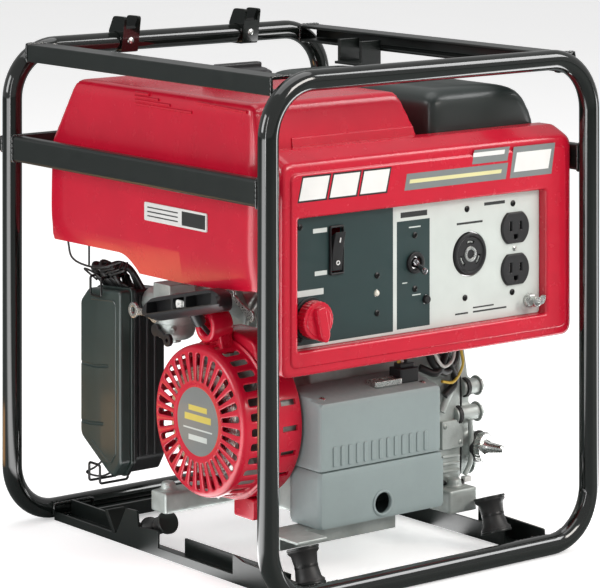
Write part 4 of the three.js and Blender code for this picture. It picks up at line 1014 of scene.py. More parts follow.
def fuel_tank():
    """The tank: a soft body cut back to its skirt, with the neck, strainer, moulded lines and label."""
    s = Span("fuel_tank")
    neck_height = 7
    top = s.z1 - neck_height

    def y(drawn):
        return drawn - DRAWN_FRONT + s.y0

    trims = [((0, y(-152), 396), (0, -42, 9)), ((0, y(176), 372), (0, 66, 42)),
             ((s.x0, 0, 300), (-139, 0, 3)), ((s.x0 + 3, 0, top - 4), (-1, 0, 1)),
             ((25, 0, 395), (44, 0, 20)), ((s.x0, 0, 300), (-50, 0, -9)),
             ((s.x0, s.y0 + 12, 0), (-1, -1, 0)), ((0, y(-148), top - 8), (0, -1, 1)),
             ((0, y(-152), 271), (0, -8, -92))]
    body = soft_body((s.x0, s.y0, s.z0 - 0.5), (s.x1, s.y1, top), trims, blend=1.4, spacing=4)
    skirt_end = -39
    skirt = prism([[(s.x0 - 8, 299), (s.x0 + 0.3, 299), (s.x0 + 15, 249), (s.x0 - 8, 249)]], "y",
                  skirt_end, s.y1 + 8)
    step = outline([(y(36), 240), (y(38), 263, 9), (y(56), 280, 11), (y(175), 279, 2), (y(190), 286),
                    (y(190), 240)], 6)
    rear_cut = prism([step], "x", s.x0 - 10, s.x1 + 10)
    under = prism([rectangle(s.x0 + 16, s.y0 + 4, s.x1 + 40, s.y1 - 4, 14, 6)], "z", 200, 298)
    right = prism([rectangle(-40, s.y0 - 20, s.x1 + 40, s.y1 + 20)], "z", 200, 298)
    rear = prism([rectangle(s.x0 + 50, 57, s.x1 + 40, s.y1 + 20)], "z", 200, 298)
    mouth = rod((*FILLER, 400), (*FILLER, 470), 24, 48, 0.1)
    body = carved(body, rear_cut, skirt, under, right, rear, mouth)
    add_piece("tank_body", body, slot="red_paint", replaces=["fuel_tank"], sharp=30, weighted=False)
    neck = tube_ring((*FILLER, top - 2), (0, 0, 1), 24, 28, neck_height + 1.8, 1.2)
    add_piece("tank_neck", neck, slot="steel")
    strainer = [tube_ring((*FILLER, 392), (0, 0, 1), 20, 22, 50, 0.4)]
    strainer += [tube_ring((*FILLER, 396 + 6 * k), (0, 0, 1), 21.6, 22.6, 1.6, 0.3) for k in range(8)]
    add_piece("strainer_basket", join(*strainer), slot="steel", replaces=["fuel_strainer"])
    # Moulded lines under the top left edge, and one ahead of them.
    lines = [((32, 433.5), (10, 433.5)), ((32, 430), (-6, 430)), ((32, 426.5), (-24, 426.5)),
             ((30, 423), (-58, 423)), ((-66, 433), (-140, 431))]
    beads = [sweep([(s.x0 + 3.0, *start), (s.x0 + 3.0, *end)], 1.4, 16) for start, end in lines]
    pad = [(y(-153.2), 340), (y(-153.2), 395, 3), (y(-150.9), 406, 1), (y(-146), 407), (y(-146), 340)]
    beads.append(plate([outline(pad)], "x", -125, 18, 0.6, 2))
    add_piece("tank_mouldings", join(*beads), slot="red_paint", sharp=50)
    label = plate([rectangle(-84, 317, 13, 334, 1.5, 4)], "x", s.x0 - 0.25, s.x0 + 1.2, 0.1, 1)
    add_piece("tank_label", label, slot="plate", look="tank_label")


def fuel_cap():
    """A fluted rim round a shallow dome, with a bar across it to grip."""
    s = Span("fuel_cap")
    x, y, z = s.mid.x, s.mid.y, s.z0
    radius = s.size.x / 2
    rim = fluted(radius, 1.6, 18, 0, 11, 1.8, 8)
    dome = lathe([(10, 0), (10, radius - 2.4), (12.6, radius - 4.5), (13.6, radius - 8), (14, radius - 12),
                  (14.2, 0)], steps=64)
    well = lathe([(-1, 0), (-1, 29), (7, 29), (7, 0)], steps=48)
    grip = plate([rectangle(-radius + 6, -5, radius - 6, 5, 4)], "z", 12, 18, 1.8, 4)
    body = join(carved(rim, well), dome, grip)
    add_piece("fuel_cap_body", placed(body, (x, y, z)), "fuel_cap", "black_plastic", replaces=["fuel_cap"])


def muffler_cover():
    """A pressed shroud: a soft box, hollow and open below, with louvers down its right side."""
    s = Span("muffler_cover")
    sheet = 2

    def body(inset):
        low = (s.x0 + inset, s.y0 + inset, s.z0 - inset * 6)
        high = (s.x1 - inset, s.y1 - inset, s.z1 - inset)

        def out(point, normal):
            return Vector(point) - Vector(normal).normalized() * inset, normal

        trims = [out((s.x1, 0, 397), (42, 0, 27)), out((s.x0, 0, s.z1 - 7), (-1, 0, 1)),
                 out((s.x0 + 3, 0, s.z1 - 3), (-0.6, 0, 1)), out((0, s.y0, s.z1 - 9), (0, -1, 1)),
                 out((0, s.y1, s.z1 - 13), (0, 1, 1)), out((s.x0, s.y0 + 4, 0), (-1, -1, 0)),
                 out((s.x1, s.y0 + 5, 0), (1, -1, 0)), out((s.x1 - 28, 0, s.z1 - 3), (0.35, 0, 1))]
        return soft_body(low, high, trims, blend=2.6 if inset == 0 else 1.6, spacing=4.5)

    slots = []
    for y in (-90, -60, -30, 0, 30, 60):
        slots.append(prism([rectangle(y - 12, 340, y + 6, 346, 2.4, 5)], "x", s.x1 - 20, s.x1 + 5))
    shell = carved(body(0), body(sheet), *slots)
    add_piece("muffler_shroud", shell, slot="black_gloss", look="cover_enamel", replaces=["muffler_cover"],
              sharp=35, weighted=False)


def muffler():
    """The can with rolled seams, its inlet pipe down to the head and its short outlet."""
    s = Span("muffler")
    x, z = 115, 365
    y0, y1 = s.y0, 74.85
    ends = [(0, 0), (0, 30), (2, 38), (6, 43), (9, 45.2), (12, 45.2), (14, 44), (16, 45.2), (92, 45.2),
            (94, 46), (98, 46)]
    ends += [(100, 45.2), (174, 45.2), (176, 44), (178, 45.2), (181, 45.2), (184, 43), (188, 38),
             (y1 - y0, 30), (y1 - y0, 0)]
    shell = lathe(ends, (x, y0, z), (0, 1, 0), 64)
    y = 56.85
    inlet = sweep(bent_path([(x, y, 330), (x, y, 262), (92, y, 262), (92, y, 250)], 10, 6), 10.8, 24)
    outlet = tube_ring((135, 66.85, 378), (0, 1, 0), 8, 10, 30, 0.8)
    add_piece("muffler_can", join(shell, inlet, outlet), slot="muffler_steel", replaces=["muffler"])
    refined("muffler_stay", 0.5)


# ---------------------------------------------------------------- recoil starter and engine


def facing_left(bm, front):
    """Turns a shape drawn facing +Z so that it faces -X, with its zero at x = front on the crank axis."""
    turn = Matrix(((0, 0, -1, front), (-1, 0, 0, CRANK.y), (0, 1, 0, CRANK.z), (0, 0, 0, 1)))
    return moved(bm, turn)


def recoil_cover():
    """A pressed dish with 32 radial slots: a polar sheet, thickened and subdivided."""
    s = Span("recoil_cover")
    ribs, half_slot = 32, radians(2.7)
    pitch = 2 * pi / ribs
    rows = [(12, 1.0), (32, 1.0), (34, 0.5), (35.6, 0), (37.4, 0), (40, 0.1), (48, 0.4), (56, 0.6),
            (62.5, 0.9), (65, 1.4), (66.8, 2.3), (68.4, 4.2), (69.2, 7), (69.5, 10.5), (69.8, 14),
            (70.3, 22), (70.6, 27), (71, 30.6), (72.4, 31.3), (74, 31.4)]
    face_slots, wall_slots = range(4, 8), range(13, 16)
    bm = bmesh.new()
    rings = []
    for radius, depth in rows:
        ring = []
        for k in range(ribs):
            for turn in (-half_slot, 0, half_slot, pitch / 2):
                angle = k * pitch + turn
                ring.append(bm.verts.new((radius * cos(angle), radius * sin(angle), -depth)))
        rings.append(ring)
    for row, (inner, outer) in enumerate(zip(rings, rings[1:])):
        for i in range(len(inner)):
            if (row in face_slots or row in wall_slots) and i % 4 in (0, 1):
                continue
            j = (i + 1) % len(inner)
            bm.faces.new((inner[i], outer[i], outer[j], inner[j]))
    bm.faces.new(rings[0])
    bmesh.ops.recalc_face_normals(bm, faces=bm.faces)
    if sum(face.normal.z for face in bm.faces) < 0:
        bmesh.ops.reverse_faces(bm, faces=bm.faces)
    sheet = as_object(bm)
    thick = sheet.modifiers.new("thick", "SOLIDIFY")
    thick.thickness = 2.2
    thick.offset = -1
    smooth = sheet.modifiers.new("smooth", "SUBSURF")
    smooth.levels = 2
    dish = facing_left(mesh_of(sheet), s.x0)
    post = rod((s.x0 + 2, CRANK.y, CRANK.z), (s.x0 + 28, CRANK.y, CRANK.z), 7.8)
    guide_z = CRANK.z + 86
    guide = tube_ring((s.x0 + 8, CRANK.y, guide_z), (1, 0, 0), 8.5, 15, 23.5, 2.2, 64)
    neck = plate([outline([(CRANK.y - 17, CRANK.z + 62), (CRANK.y + 17, CRANK.z + 62),
                           (CRANK.y + 11, guide_z - 2, 4), (CRANK.y - 11, guide_z - 2, 4)])], "x",
                 s.x0 + 17, s.x0 + 31.2, 2, 4)
    add_piece("recoil_dish", join(dish, post, guide, neck), slot="red_paint", replaces=["recoil_cover"],
              sharp=60, weighted=False)
    seat = facing_left(lathe([(-0.9, 0), (-0.9, 31.6), (-0.1, 31.6), (0.1, 31.2), (0.1, 0)],
                             steps=96), s.x0 + 0.9)
    add_piece("recoil_seat_label", seat, slot="plate", look="seat_label")
    bolts = []
    for degrees in (35, 155, 275):
        angle = radians(degrees)
        y, z = CRANK.y + 72.3 * cos(angle), CRANK.z + 72.3 * sin(angle)
        bolts.append(hex_bolt((s.x1 - 2.6, y, z), (-1, 0, 0), 6, 3.2, washer=False))
    add_piece("recoil_bolts", join(*bolts), slot="steel")


def fan_housing():
    """The shroud behind the dish: a band with a squared shoulder, cooling slots and a foot."""
    s = Span("fan_housing")
    radius, sheet = 75, 3
    y, z = CRANK.y, CRANK.z

    def shoulder(inset):
        return outline([(y - 50 + inset, z + 30), (y - 42 + inset, z + 74 - inset, 8),
                        (y - 12, z + 80 - inset, 8), (y + 24 - inset, z + 80 - inset, 12),
                        (y + 52 - inset, z + 30)])

    band = carved(plate([circle(y, z, radius, 96)], "x", s.x0, s.x1, 2.4, 4),
                  plate([shoulder(0)], "x", s.x0, s.x1, 2.4, 4), operation="UNION")
    inner_x = (s.x0 + sheet, s.x1 - 2)
    tools = [prism([circle(y, z, radius - sheet, 96)], "x", *inner_x),
             prism([shoulder(sheet)], "x", *inner_x), rod((s.x0 - 2, y, z), (s.x0 + 5, y, z), 66, 64, 0.1),
             rod((s.x1 - 5, y, z), (s.x1 + 2, y, z), 37, 64, 0.1)]
    for i in (*range(4, 10), *range(11, 17)):  # twentieths of a turn, clear of the shoulder and the foot
        angle = 2 * pi * i / 20
        slot = prism([rectangle(-2.6, radius - 9, 2.6, radius + 5)], "x", s.x0 + 7, s.x1 - 6)
        turn = Matrix.Translation((0, y, z)) @ Matrix.Rotation(angle, 4, "X")
        tools.append(moved(slot, turn))
    body = carved(band, *tools)
    foot = plate([rectangle(y - 34, s.z0, y - 4, z - 71, 3)], "x", -126, -108, 1.2, 3)
    add_piece("fan_shroud", join(body, foot), slot="red_paint", replaces=["fan_housing"], sharp=35,
              weighted=False)


def starter_handle():
    """The T-handle: a bevelled grip with two deep pockets and a pale rope washer between them."""
    place = Vector((0, CRANK.y, CRANK.z))
    height, tilt = 108, -13
    lift = Matrix.Translation(place + Vector((0, 0, height))) @ Matrix.Rotation(radians(tilt), 4, "X")
    trims = [((-188, 0, -7), (-17, 0, 4)), ((-188, 0, -3.5), (-7, 0, -12)), ((-166, 0, -6), (17, 0, 3))]
    for end in (1, -1):
        trims += [((0, 54 * end, -11), (0, 8 * end, -8)), ((0, 46 * end, 11), (0, 7 * end, 16)),
                  ((0, 62 * end, -4), (0, 3 * end, -1))]
    grip = soft_body((-188, -59, -11), (-166, 60, 11), trims, blend=0.9, spacing=2.5)
    pockets = []
    for y0, y1 in ((-51, -11.5), (11.5, 51), (-9, 9)):
        pockets.append(prism([rectangle(y0, -2.6, y1, 7.4, 1.8, 5)], "x", -192, -174))
    grip = carved(grip, *pockets)
    moved(grip, lift)
    stem_end = Vector((-161, CRANK.y, CRANK.z + 89))
    stem = rod(place + Vector((-172, 0, 107)), stem_end, 6, 24, 1)
    add_piece("starter_grip", join(grip, stem), "starter_handle", "black_plastic",
              replaces=["starter_handle"], sharp=35)
    insert = plate([rectangle(-8.2, -2.0, 8.2, 3.4, 1.6, 4)], "x", -183.2, -175, 1.0, 3)
    knot = sweep(bent_path([(-184, -4, 2.6), (-184, 3, 4.6), (-183, 6, 0), (-184, -3, -0.5)],
                           1.6, 4), 1.5, 12)
    washer = moved(join(insert, knot), lift)
    add_piece("starter_rope_washer", washer, "starter_handle", "plate", look="label_white")
    starter_cord(stem_end)


def starter_cord(stem_end):
    """The cord: a short stub at rest, running out of the eyelet towards the handle."""
    pull = Vector((-1, 0, 1)).normalized()
    start, end = stem_end + pull * 5, stem_end - pull * 16
    cord = sweep([start.lerp(end, step / 24) for step in range(25)], 2.2, 12)
    made = add_piece("starter_cord", cord, None, "black_plastic", weighted=False)
    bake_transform(made)


def bolts_at(places, direction, across=10, height=6):
    """The same hexagon bolt at several places."""
    return [hex_bolt(place, direction, across, height) for place in places]


def gear_cover_front():
    """What shows beside the converter: gasket, sensor box, webs, pipes, a clip and boss rings."""
    face = CRANK.y - 49
    corners = [(-49, -86, 14), (66, -86, 14), (72, -18, 12), (56, 48, 12), (-40, 54, 16), (-50, 8, 16)]
    profile = outline([(CRANK.y + y, CRANK.z + z, setback) for y, z, setback in corners])
    dark = [plate([profile], "x", 111.5, 112.9, 0.3, 1)]
    for x, z in ((115, 3), (105, -22)):
        dark.append(tube_ring((x, CRANK.y - 48, CRANK.z + z), (1, 0, 0), 7.5, 9.4, 4.5, 0.8))
    dark.append(sweep(spline([(84, face - 2, 62), (92, face - 6, 55), (104, face - 7, 54),
                              (112, face - 5, 60)]), 2.2, 14))
    add_piece("cover_gasket", join(*dark), slot="rubber")
    light = [plate([rectangle(84, 90, 111, 117, 2, 4)], "y", face - 5, face + 2, 1.0, 3)]
    light += [cross_screw((x, face - 4.8, z), (0, -1, 0), 2.4, 1.4) for x, z in ((88, 112), (107, 95))]
    light.append(sweep([(109, face - 1, 196), (106, face - 1, 160), (86, face - 1, 126)], 4.2, 14))
    light.append(rod((103, CRANK.y - 48, CRANK.z - 22), (116, CRANK.y - 48, CRANK.z - 22), 8, 32))
    light.append(sweep(spline([(117, face - 8, 116), (118, face - 8, 96), (117, face - 8, 76),
                               (110, face - 8, 64)]), 2.6, 16))
    light += [sweep([(88, face - 0.6, z), (109, face - 0.6, z)], 1.6, 10) for z in (68, 75, 82)]
    add_piece("cover_fittings", join(*light), slot="cast_aluminium")
    clip = plate([rectangle(109, 57, 118, 62, 1.2, 3)], "y", face - 9, face - 3, 0.8, 2)
    add_piece("pipe_clip", clip, slot="plate", look="label_white")


def engine_block():
    """Crankcase, side cover and head as castings, with crisp bolts and ribs left on them."""
    block = bolts_at([(-136, CRANK.y + 84, CRANK.z - 82), (136, CRANK.y + 84, CRANK.z - 82),
                      (94, CRANK.y - 60, CRANK.z - 86)], (0, 0, 1), 12, 7)
    cast("crankcase", 1.8, 8, 0.4, block)
    start = 112.3
    bosses = [(-48, 3), (-48, -22), (-36, -74), (36, -76), (60, -30), (44, 38), (-20, 50)]
    heads = bolts_at([(start + 19.6, CRANK.y + y, CRANK.z + z) for y, z in bosses], (1, 0, 0), 12, 5)
    ribs = []
    for k in range(6):
        angle = radians(60 * k + 20)
        inner = Vector((start + 11.5, CRANK.y + 26 * cos(angle), CRANK.z + 26 * sin(angle)))
        outer = Vector((start + 11.5, CRANK.y + 45 * cos(angle), CRANK.z + 45 * sin(angle)))
        ribs.append(sweep([inner, outer], 2.4, 12))
    cast("side_cover", 1.5, 6, 0.5, heads + ribs)
    cast("cylinder_head", 1.8, 6, 0.4)


def oil_filler_cap():
    """A ribbed grip on a dark seal, with a tapered tab."""
    joint = JOINTS["oil_filler_cap_turn"]
    foot, out = Vector(joint["pos_m"]) / MM, Vector(joint["axis"]).normalized()
    seal = tube_ring(foot + out * 0.3, out, 6, 15, 3.8, 1.2)
    add_piece("oil_filler_seal", seal, "oil_filler_cap", "rubber")
    grip = placed(fluted(14, 0.6, 20, 3.8, 11, 1.2, 6), foot, out)
    tab = [(10, 0), (10, 7.5), (13, 6.6), (15, 5.4), (25, 4.2), (28.4, 3.6), (29.7, 2.2), (30, 0)]
    add_piece("oil_filler_grip", join(grip, lathe(tab, foot, out, 32)), "oil_filler_cap", "steel",
              replaces=["oil_filler_cap"])


def carburettor():
    """The body as a casting with screws and pipe stubs, over a turned float bowl."""
    x, y, z = -108, 46.85, 232
    bowl = [(0, 0), (0, 21.5), (2.4, 21.5), (3, 20.4), (8, 20.4), (8.6, 19.6), (17, 19.2), (21, 17.6),
            (24, 13.5), (25, 7), (25, 0)]
    drain = lathe([(0, 0), (0, 6.2), (4, 6.2), (5, 5), (5, 0)], (x, y, z - 36), (0, 0, -1), 6)
    add_piece("carburettor_bowl", join(lathe(bowl, (x, y, z - 13), (0, 0, -1), 48), drain),
              slot="cast_aluminium")
    extras = bolts_at([(-80, y - 14, z + 13), (-80, y - 14, z - 13)], (-1, 0, 0), 7, 4)
    extras.append(rod((x - 10, y - 12, z + 6), (x - 10, y - 21, z + 6), 2.6))
    extras.append(rod((x - 6, y - 11, z - 22), (x - 16, y - 17, z - 26), 2.8))
    cast("carburettor", 1.0, 4, 0.5, extras)


def lever(node, joint, name, length, hub, eye, thickness, angle, slot):
    """A flat lever: a hub, a waisted arm and an eye, in the plane across x."""
    s, pivot = Span(node), Vector(JOINTS[joint]["pos_m"]) / MM
    arm = outline([(0, -hub * 0.8, 2), (length * 0.5, -2.4, 6), (length, -eye * 1.3, 3),
                   (length, eye * 1.3, 3), (length * 0.5, 2.4, 6), (0, hub * 0.8, 2)])
    parts = [plate([arm], "x", 0.3, thickness - 0.3, 0.4, 2),
             tube_ring((0, length, 0), (1, 0, 0), eye, eye + 4, thickness, 0.7),
             rod((0, 0, 0), (thickness, 0, 0), hub, 40, 0.6)]
    body = carved(parts[0], rod((-2, length, 0), (thickness + 2, length, 0), eye, 32, 0.1))
    body = join(body, *parts[1:])
    turn = Matrix.Translation((s.x0, pivot.y, pivot.z)) @ Matrix.Rotation(radians(angle), 4, "X")
    add_piece(name, moved(body, turn), node, slot, replaces=[node])


def control_levers():
    """The choke, fuel valve and governor levers."""
    lever("choke_lever", "choke_lever_turn", "choke_arm", 34, 7, 3.5, 3, 0, "steel")
    lever("fuel_valve_lever", "fuel_valve_lever_turn", "fuel_valve_arm", 20, 6, 2, 4, -160, "black_plastic")
    lever("governor_arm", "governor_arm_swing", "governor_lever", 35, 6, 2, 3, 30, "steel")


# ---------------------------------------------------------------- air cleaner


def cleaner_outline(inset=0.0, steps=5):
    """The air cleaner's outline seen from the left, shrunk by inset."""
    s = Span("cleaner_cover")
    y0, y1, z0, z1 = s.y0, s.y1 + 0.2, s.z0, s.z1 + 0.3
    return outline([(y0 + inset, z0 + 14 + inset, 3), (y0 + 12, z0 + inset, 2), (y0 + 20, z0 + inset, 4),
                    (y1 - inset, z0 + 32 + inset / 2, 6), (y1 - inset, z1 - 19, 4),
                    (y1 - 15, z1 - 4 - inset, 4), (y0 + inset, z1 - inset, 5)], steps)


def air_cleaner():
    """The cover with its grooves and ridge, the case behind it with ribs, and the element inside."""
    cover, case = Span("cleaner_cover"), Span("cleaner_case")
    tray = plate([cleaner_outline(1.5)], "x", cover.x0, cover.x1 - 1.2, 3.2, 5)
    room = plate([cleaner_outline(4.5)], "x", cover.x0 + 3, cover.x1 + 3, 1, 2)
    rim = plate([cleaner_outline(0), cleaner_outline(4.2)], "x", cover.x1 - 2.8, cover.x1, 0.7, 2)
    x, y0, z0, z1 = cover.x0, cover.y0, cover.z0, cover.z1
    grooves = [sweep(bent_path([(x, cover.y1 + 4, z), (x, y + 24, z), (x, y, z + 3)], 40, 8), 1.9, 12)
               for y, z in ((112, 104), (103.5, 160.6))]
    ridge = sweep(bent_path([(x + 0.4, y0 + 50, z0 + 30), (x + 0.4, y0 + 18, z0 + 12),
                             (x + 0.4, y0 + 9, z0 + 24), (x + 0.4, y0 + 9, z1 - 12),
                             (x + 0.4, y0 + 50, z1 - 15)], 6, 8), 1.2, 10)
    add_piece("cleaner_lid", join(carved(tray, room, *grooves), rim, ridge), slot="cleaner_green",
              replaces=["cleaner_cover"])
    tub = carved(plate([cleaner_outline(3)], "x", case.x0, case.x1, 3, 4),
                 plate([cleaner_outline(6)], "x", case.x0 - 3, case.x1 - 3, 1, 2),
                 rod((-108, case.y0 - 4, 226), (-108, case.y0 + 8, 226), 12, 32, 0.1))
    flange = plate([cleaner_outline(0), cleaner_outline(4.2)], "x", case.x0, case.x0 + 2.8, 0.7, 2)
    ribs = [sweep([(case.x0 + 8 + 9 * k, case.y0 + 2.4, case.z0 + 20),
                   (case.x0 + 8 + 9 * k, case.y0 + 2.4, case.z1 - 8)], 1.4, 10) for k in range(3)]
    add_piece("cleaner_tub", join(tub, flange, *ribs), slot="black_plastic", replaces=["cleaner_case"])
    refined("filter_element", 2, 3)


def wire_clips():
    """Bent wire loops whose feet pivot on the case and whose bend hooks the cover."""
    for node, up in (("upper_clip", 1), ("lower_clip", -1)):
        s = Span(node)
        reach, pivot = s.x0 + 1.2, s.x1 - 1.2
        y, half = s.mid.y, 9
        z_low, z_high = (s.z0 + 1.2, s.z1 - 1.2) if up > 0 else (s.z1 - 1.2, s.z0 + 1.2)
        foot = z_high - 6 * up
        path = bent_path([(pivot, y - half, foot), (pivot, y - half, z_high), (reach, y - half, z_high),
                          (reach, y - half, z_low), (reach, y + half, z_low), (reach, y + half, z_high),
                          (pivot, y + half, z_high), (pivot, y + half, foot)], 2.6, 6)
        add_piece(node + "_wire", sweep(path, 1.2, 14), node, "steel", "dark_screw", replaces=[node])


# ---------------------------------------------------------------- frequency converter


LID_RISE = 10


def lid_top(y):
    """The height of the converter lid's sloping top."""
    cover = Span("converter_cover")
    return cover.z1 - LID_RISE * (cover.y1 - y) / cover.size.y


def converter():
    """The two halves of the converter's case with their fixings and plug, and the bar below."""
    base, cover = Span("converter_base"), Span("converter_cover")
    hole_x, hole_z = -26, 66
    tray = soft_body(base.low + Vector((0, 1.3, 0)), base.high, [], blend=1.3, spacing=3.5)
    room = prism([rectangle(base.x0 + 4, base.y0 + 4.5, base.x1 - 8, base.y1 - 4, 3)], "z",
                 base.z0 + 3, base.z1 + 5)
    hole = rod((hole_x, base.y0 - 5, hole_z), (hole_x, base.y0 + 9, hole_z), 10, 48, 0.1)
    step = prism([rectangle(cover.x1 + 0.8, base.y0 - 3, base.x1 + 4, base.y1 + 4)], "z",
                 base.z1 - 7, base.z1 + 4)
    tray = carved(tray, room, hole, step)
    collar = tube_ring((hole_x, base.y0, hole_z), (0, 1, 0), 9.4, 12.2, 3.5, 1.2)
    add_piece("converter_tray", join(tray, collar), slot="converter_grey",
              replaces=["converter_base"], sharp=35)
    lid = soft_body(cover.low, cover.high, [((0, cover.y1, cover.z1), (0, -LID_RISE, cover.size.y))],
                    blend=0.8, spacing=3)
    room = prism([rectangle(cover.x0 + 3.5, cover.y0 + 3.5, cover.x1 - 3.5, cover.y1 - 3.5, 3)],
                 "z", cover.z0 - 4, cover.z1 - LID_RISE - 4)
    lid = carved(lid, room)
    ribs = [plate([rectangle(x, 107, x + 4, 125, 1.4, 4)], "y", cover.y0 - 1.2, cover.y0 + 1, 0.6, 2)
            for x in (cover.x0 + 14 + 9 * k for k in range(13))]
    add_piece("converter_lid", join(lid, *ribs), slot="converter_grey",
              replaces=["converter_cover"], sharp=35)
    slope = (0, -LID_RISE, cover.size.y)
    screws = [cross_screw((x, cover.y0 + 12, lid_top(cover.y0 + 12) - 0.4), slope, 3.2, 2)
              for x in (cover.x0 + 12, cover.x1 - 12)]
    screws += bolts_at([(base.x1 - 3.5, base.mid.y, base.z1 - 7.2)], (0, 0, 1), 5, 3)
    clip_x, clip_y, z = cover.x0 + 92, cover.mid.y - 2, lid_top(cover.mid.y) - 1
    clip = plate([rectangle(clip_x - 16, clip_y - 8, clip_x + 16, clip_y + 8, 2),
                  *[rectangle(clip_x - 12 + 6 * k, clip_y - 5, clip_x - 9 + 6 * k, clip_y + 5, 0.6, 2)
                    for k in range(5)]], "z", z - 0.4, z + 5, 0.6, 2)
    add_piece("converter_fixings", join(*screws, clip), slot="steel")
    plug = [plate([rectangle(cover.x1 - 36, cover.mid.y - 9, cover.x1 - 14, cover.mid.y + 9, 2)], "z",
                  z - 0.5, z + 13, 1.2, 3)]
    plug += [plate([rectangle(cover.x1 - 33, cover.mid.y - 6, cover.x1 - 17, cover.mid.y + 6, 2)], "z",
                   z + 12, z + 17, 0.8, 2)]
    add_piece("converter_plug", join(*plug), slot="black_plastic")
    refined("converter_bar", 1.0, 3)


def wiring():
    """The loom from the converter's plug up into the panel, and loose wires and hoses beside it."""
    cover = Span("converter_cover")
    x, y, z = cover.x1 - 25, cover.mid.y, cover.z1 + 11
    for name, look, shift in (("yellow", "wire_yellow", -6), ("white", "wire_white", -2),
                              ("black", "wire_black", 2)):
        path = spline([(x + shift, y, z), (x + shift, y + 2, z + 10), (x + 18 + shift, y + 8, z + 16),
                       (x + 26 + shift, y + 8, z + 40)])
        add_piece("loom_" + name, sweep(path, 1.7, 12), slot="rubber", look=look)
    runs = {"hose": (3.6, "wire_black", [[(56, -128, 196), (64, -130, 176), (84, -126, 166),
                                          (100, -121, 180), (104, -119, 200)],
                                         [(50, -126, 174), (66, -132, 168), (80, -128, 182),
                                          (92, -124, 198)],
                                         [(70, -124, 196), (88, -126, 172), (98, -122, 154),
                                          (86, -120, 142)]]),
            "white": (1.6, "wire_white", [[(60, -134, 190), (72, -134, 174), (86, -132, 178),
                                           (94, -126, 192)]]),
            "yellow": (1.4, "wire_yellow", [[(100, -128, 186), (103, -127, 170), (92, -127, 156),
                                             (76, -128, 158)]])}
    for name, (radius, look, paths) in runs.items():
        bundle = join(*[sweep(spline(path), radius, 14) for path in paths])
        add_piece("panel_" + name, bundle, slot="rubber", look=look)


def fuel_hose():
    """The hose from the tank to the carburettor, with a clip at each end."""
    y = 26.85
    path = bent_path([(-112, y, 297.6), (-112, y, 270), (-100, 46.85, 262), (-100, 46.85, 248.5)], 8, 8)
    clips = [tube_ring(place, (0, 0, 1), 3.8, 4.9, 4, 0.5)
             for place in ((-112, y, 288), (-100, 46.85, 250))]
    add_piece("fuel_hose_tube", sweep(path, 4, 24), slot="rubber", replaces=["fuel_hose"])
    add_piece("hose_clips", join(*clips), slot="steel")


def hoses_and_loops():
    """The tangle of hoses over the air cleaner, and the thin loops beside and below it."""
    top = Span("cleaner_cover")
    y, z = top.mid.y, top.z1
    bundle = []
    for k in range(5):
        here = y - 20 + 8 * k
        arch = [(-122, here, z - 8), (-137, here + 3, z + 6 + 2 * (k % 2)),
                (-135, here + 12 - 5 * (k % 2), z + 20 - 4 * (k % 3)),
                (-121, here + 6 - 9 * (k % 2), z + 16 - 2 * k), (-113, here - 10 + 3 * k, z - 8)]
        bundle.append(sweep(spline(arch), 2.4 + 0.6 * (k % 3), 14))
        curl = [(-130, here - 4, z), (-141, here + 9, z + 9 + k), (-138, here - 9, z + 17),
                (-126, here + 3, z + 21 - k), (-124, here + 12, z)]
        bundle.append(sweep(spline(curl), 1.1, 10))
    add_piece("hose_bundle", join(*bundle), slot="rubber")
    loops = [[(-138, y + 6, z + 4), (-147, y + 14, z + 12), (-146, y + 26, z + 12), (-138, y + 16, z + 2)],
             [(-150, 166, 276), (-150, 160, 262), (-150, 140, 257), (-150, 110, 258), (-138, 94, 264)],
             [(-150, 130, 280), (-150, 130, 257.6)], [(-128, y + 8, top.z0 + 16),
                                                      (-141, y + 14, top.z0 + 4),
                                                      (-142, y + 28, top.z0 - 4),
                                                      (-130, y + 20, top.z0 - 8),
                                                      (-122, y + 2, top.z0 + 2)]]
    add_piece("wire_loops", join(*[sweep(spline(loop), 1.0, 10) for loop in loops]), slot="steel",
              look="wire_black")


def hidden_parts():
    """Pieces seen only through slots or from behind."""
    for node in ("crankshaft", "flywheel", "stator", "recoil_reel"):
        refined(node, 0.5)
    refined("spark_plug", 0.4)
    refined("plug_cap", 0.8, 3)


for build in (
    frame_loops, weld_beads, bars_and_rails, engine_mounts,
    panel_shell, panel_banner, control_plate, rocker_switch, engine_knob, small_controls,
    twist_lock_outlet, duplex_outlets, ground_terminal,
    fuel_tank, fuel_cap, muffler_cover, muffler,
    recoil_cover, fan_housing, starter_handle, engine_block, gear_cover_front, oil_filler_cap,
    carburettor, control_levers, air_cleaner, wire_clips,
    converter, wiring, fuel_hose, hoses_and_loops, hidden_parts,
):
    build()

# ---------------------------------------------------------------- stage


def area_light(name, place, target, size, watts):
    """A rectangular lamp at a place, turned to a target."""
    lamp = bpy.data.lights.new(name, "AREA")
    lamp.shape = "RECTANGLE"
    lamp.size, lamp.size_y = size
    lamp.energy = watts
    made = bpy.data.objects.new(name, lamp)
    bpy.context.scene.collection.objects.link(made)
    made.location = place
    made.rotation_euler = (Vector(target) - Vector(place)).to_track_quat("-Z", "Y").to_euler()
    return lamp


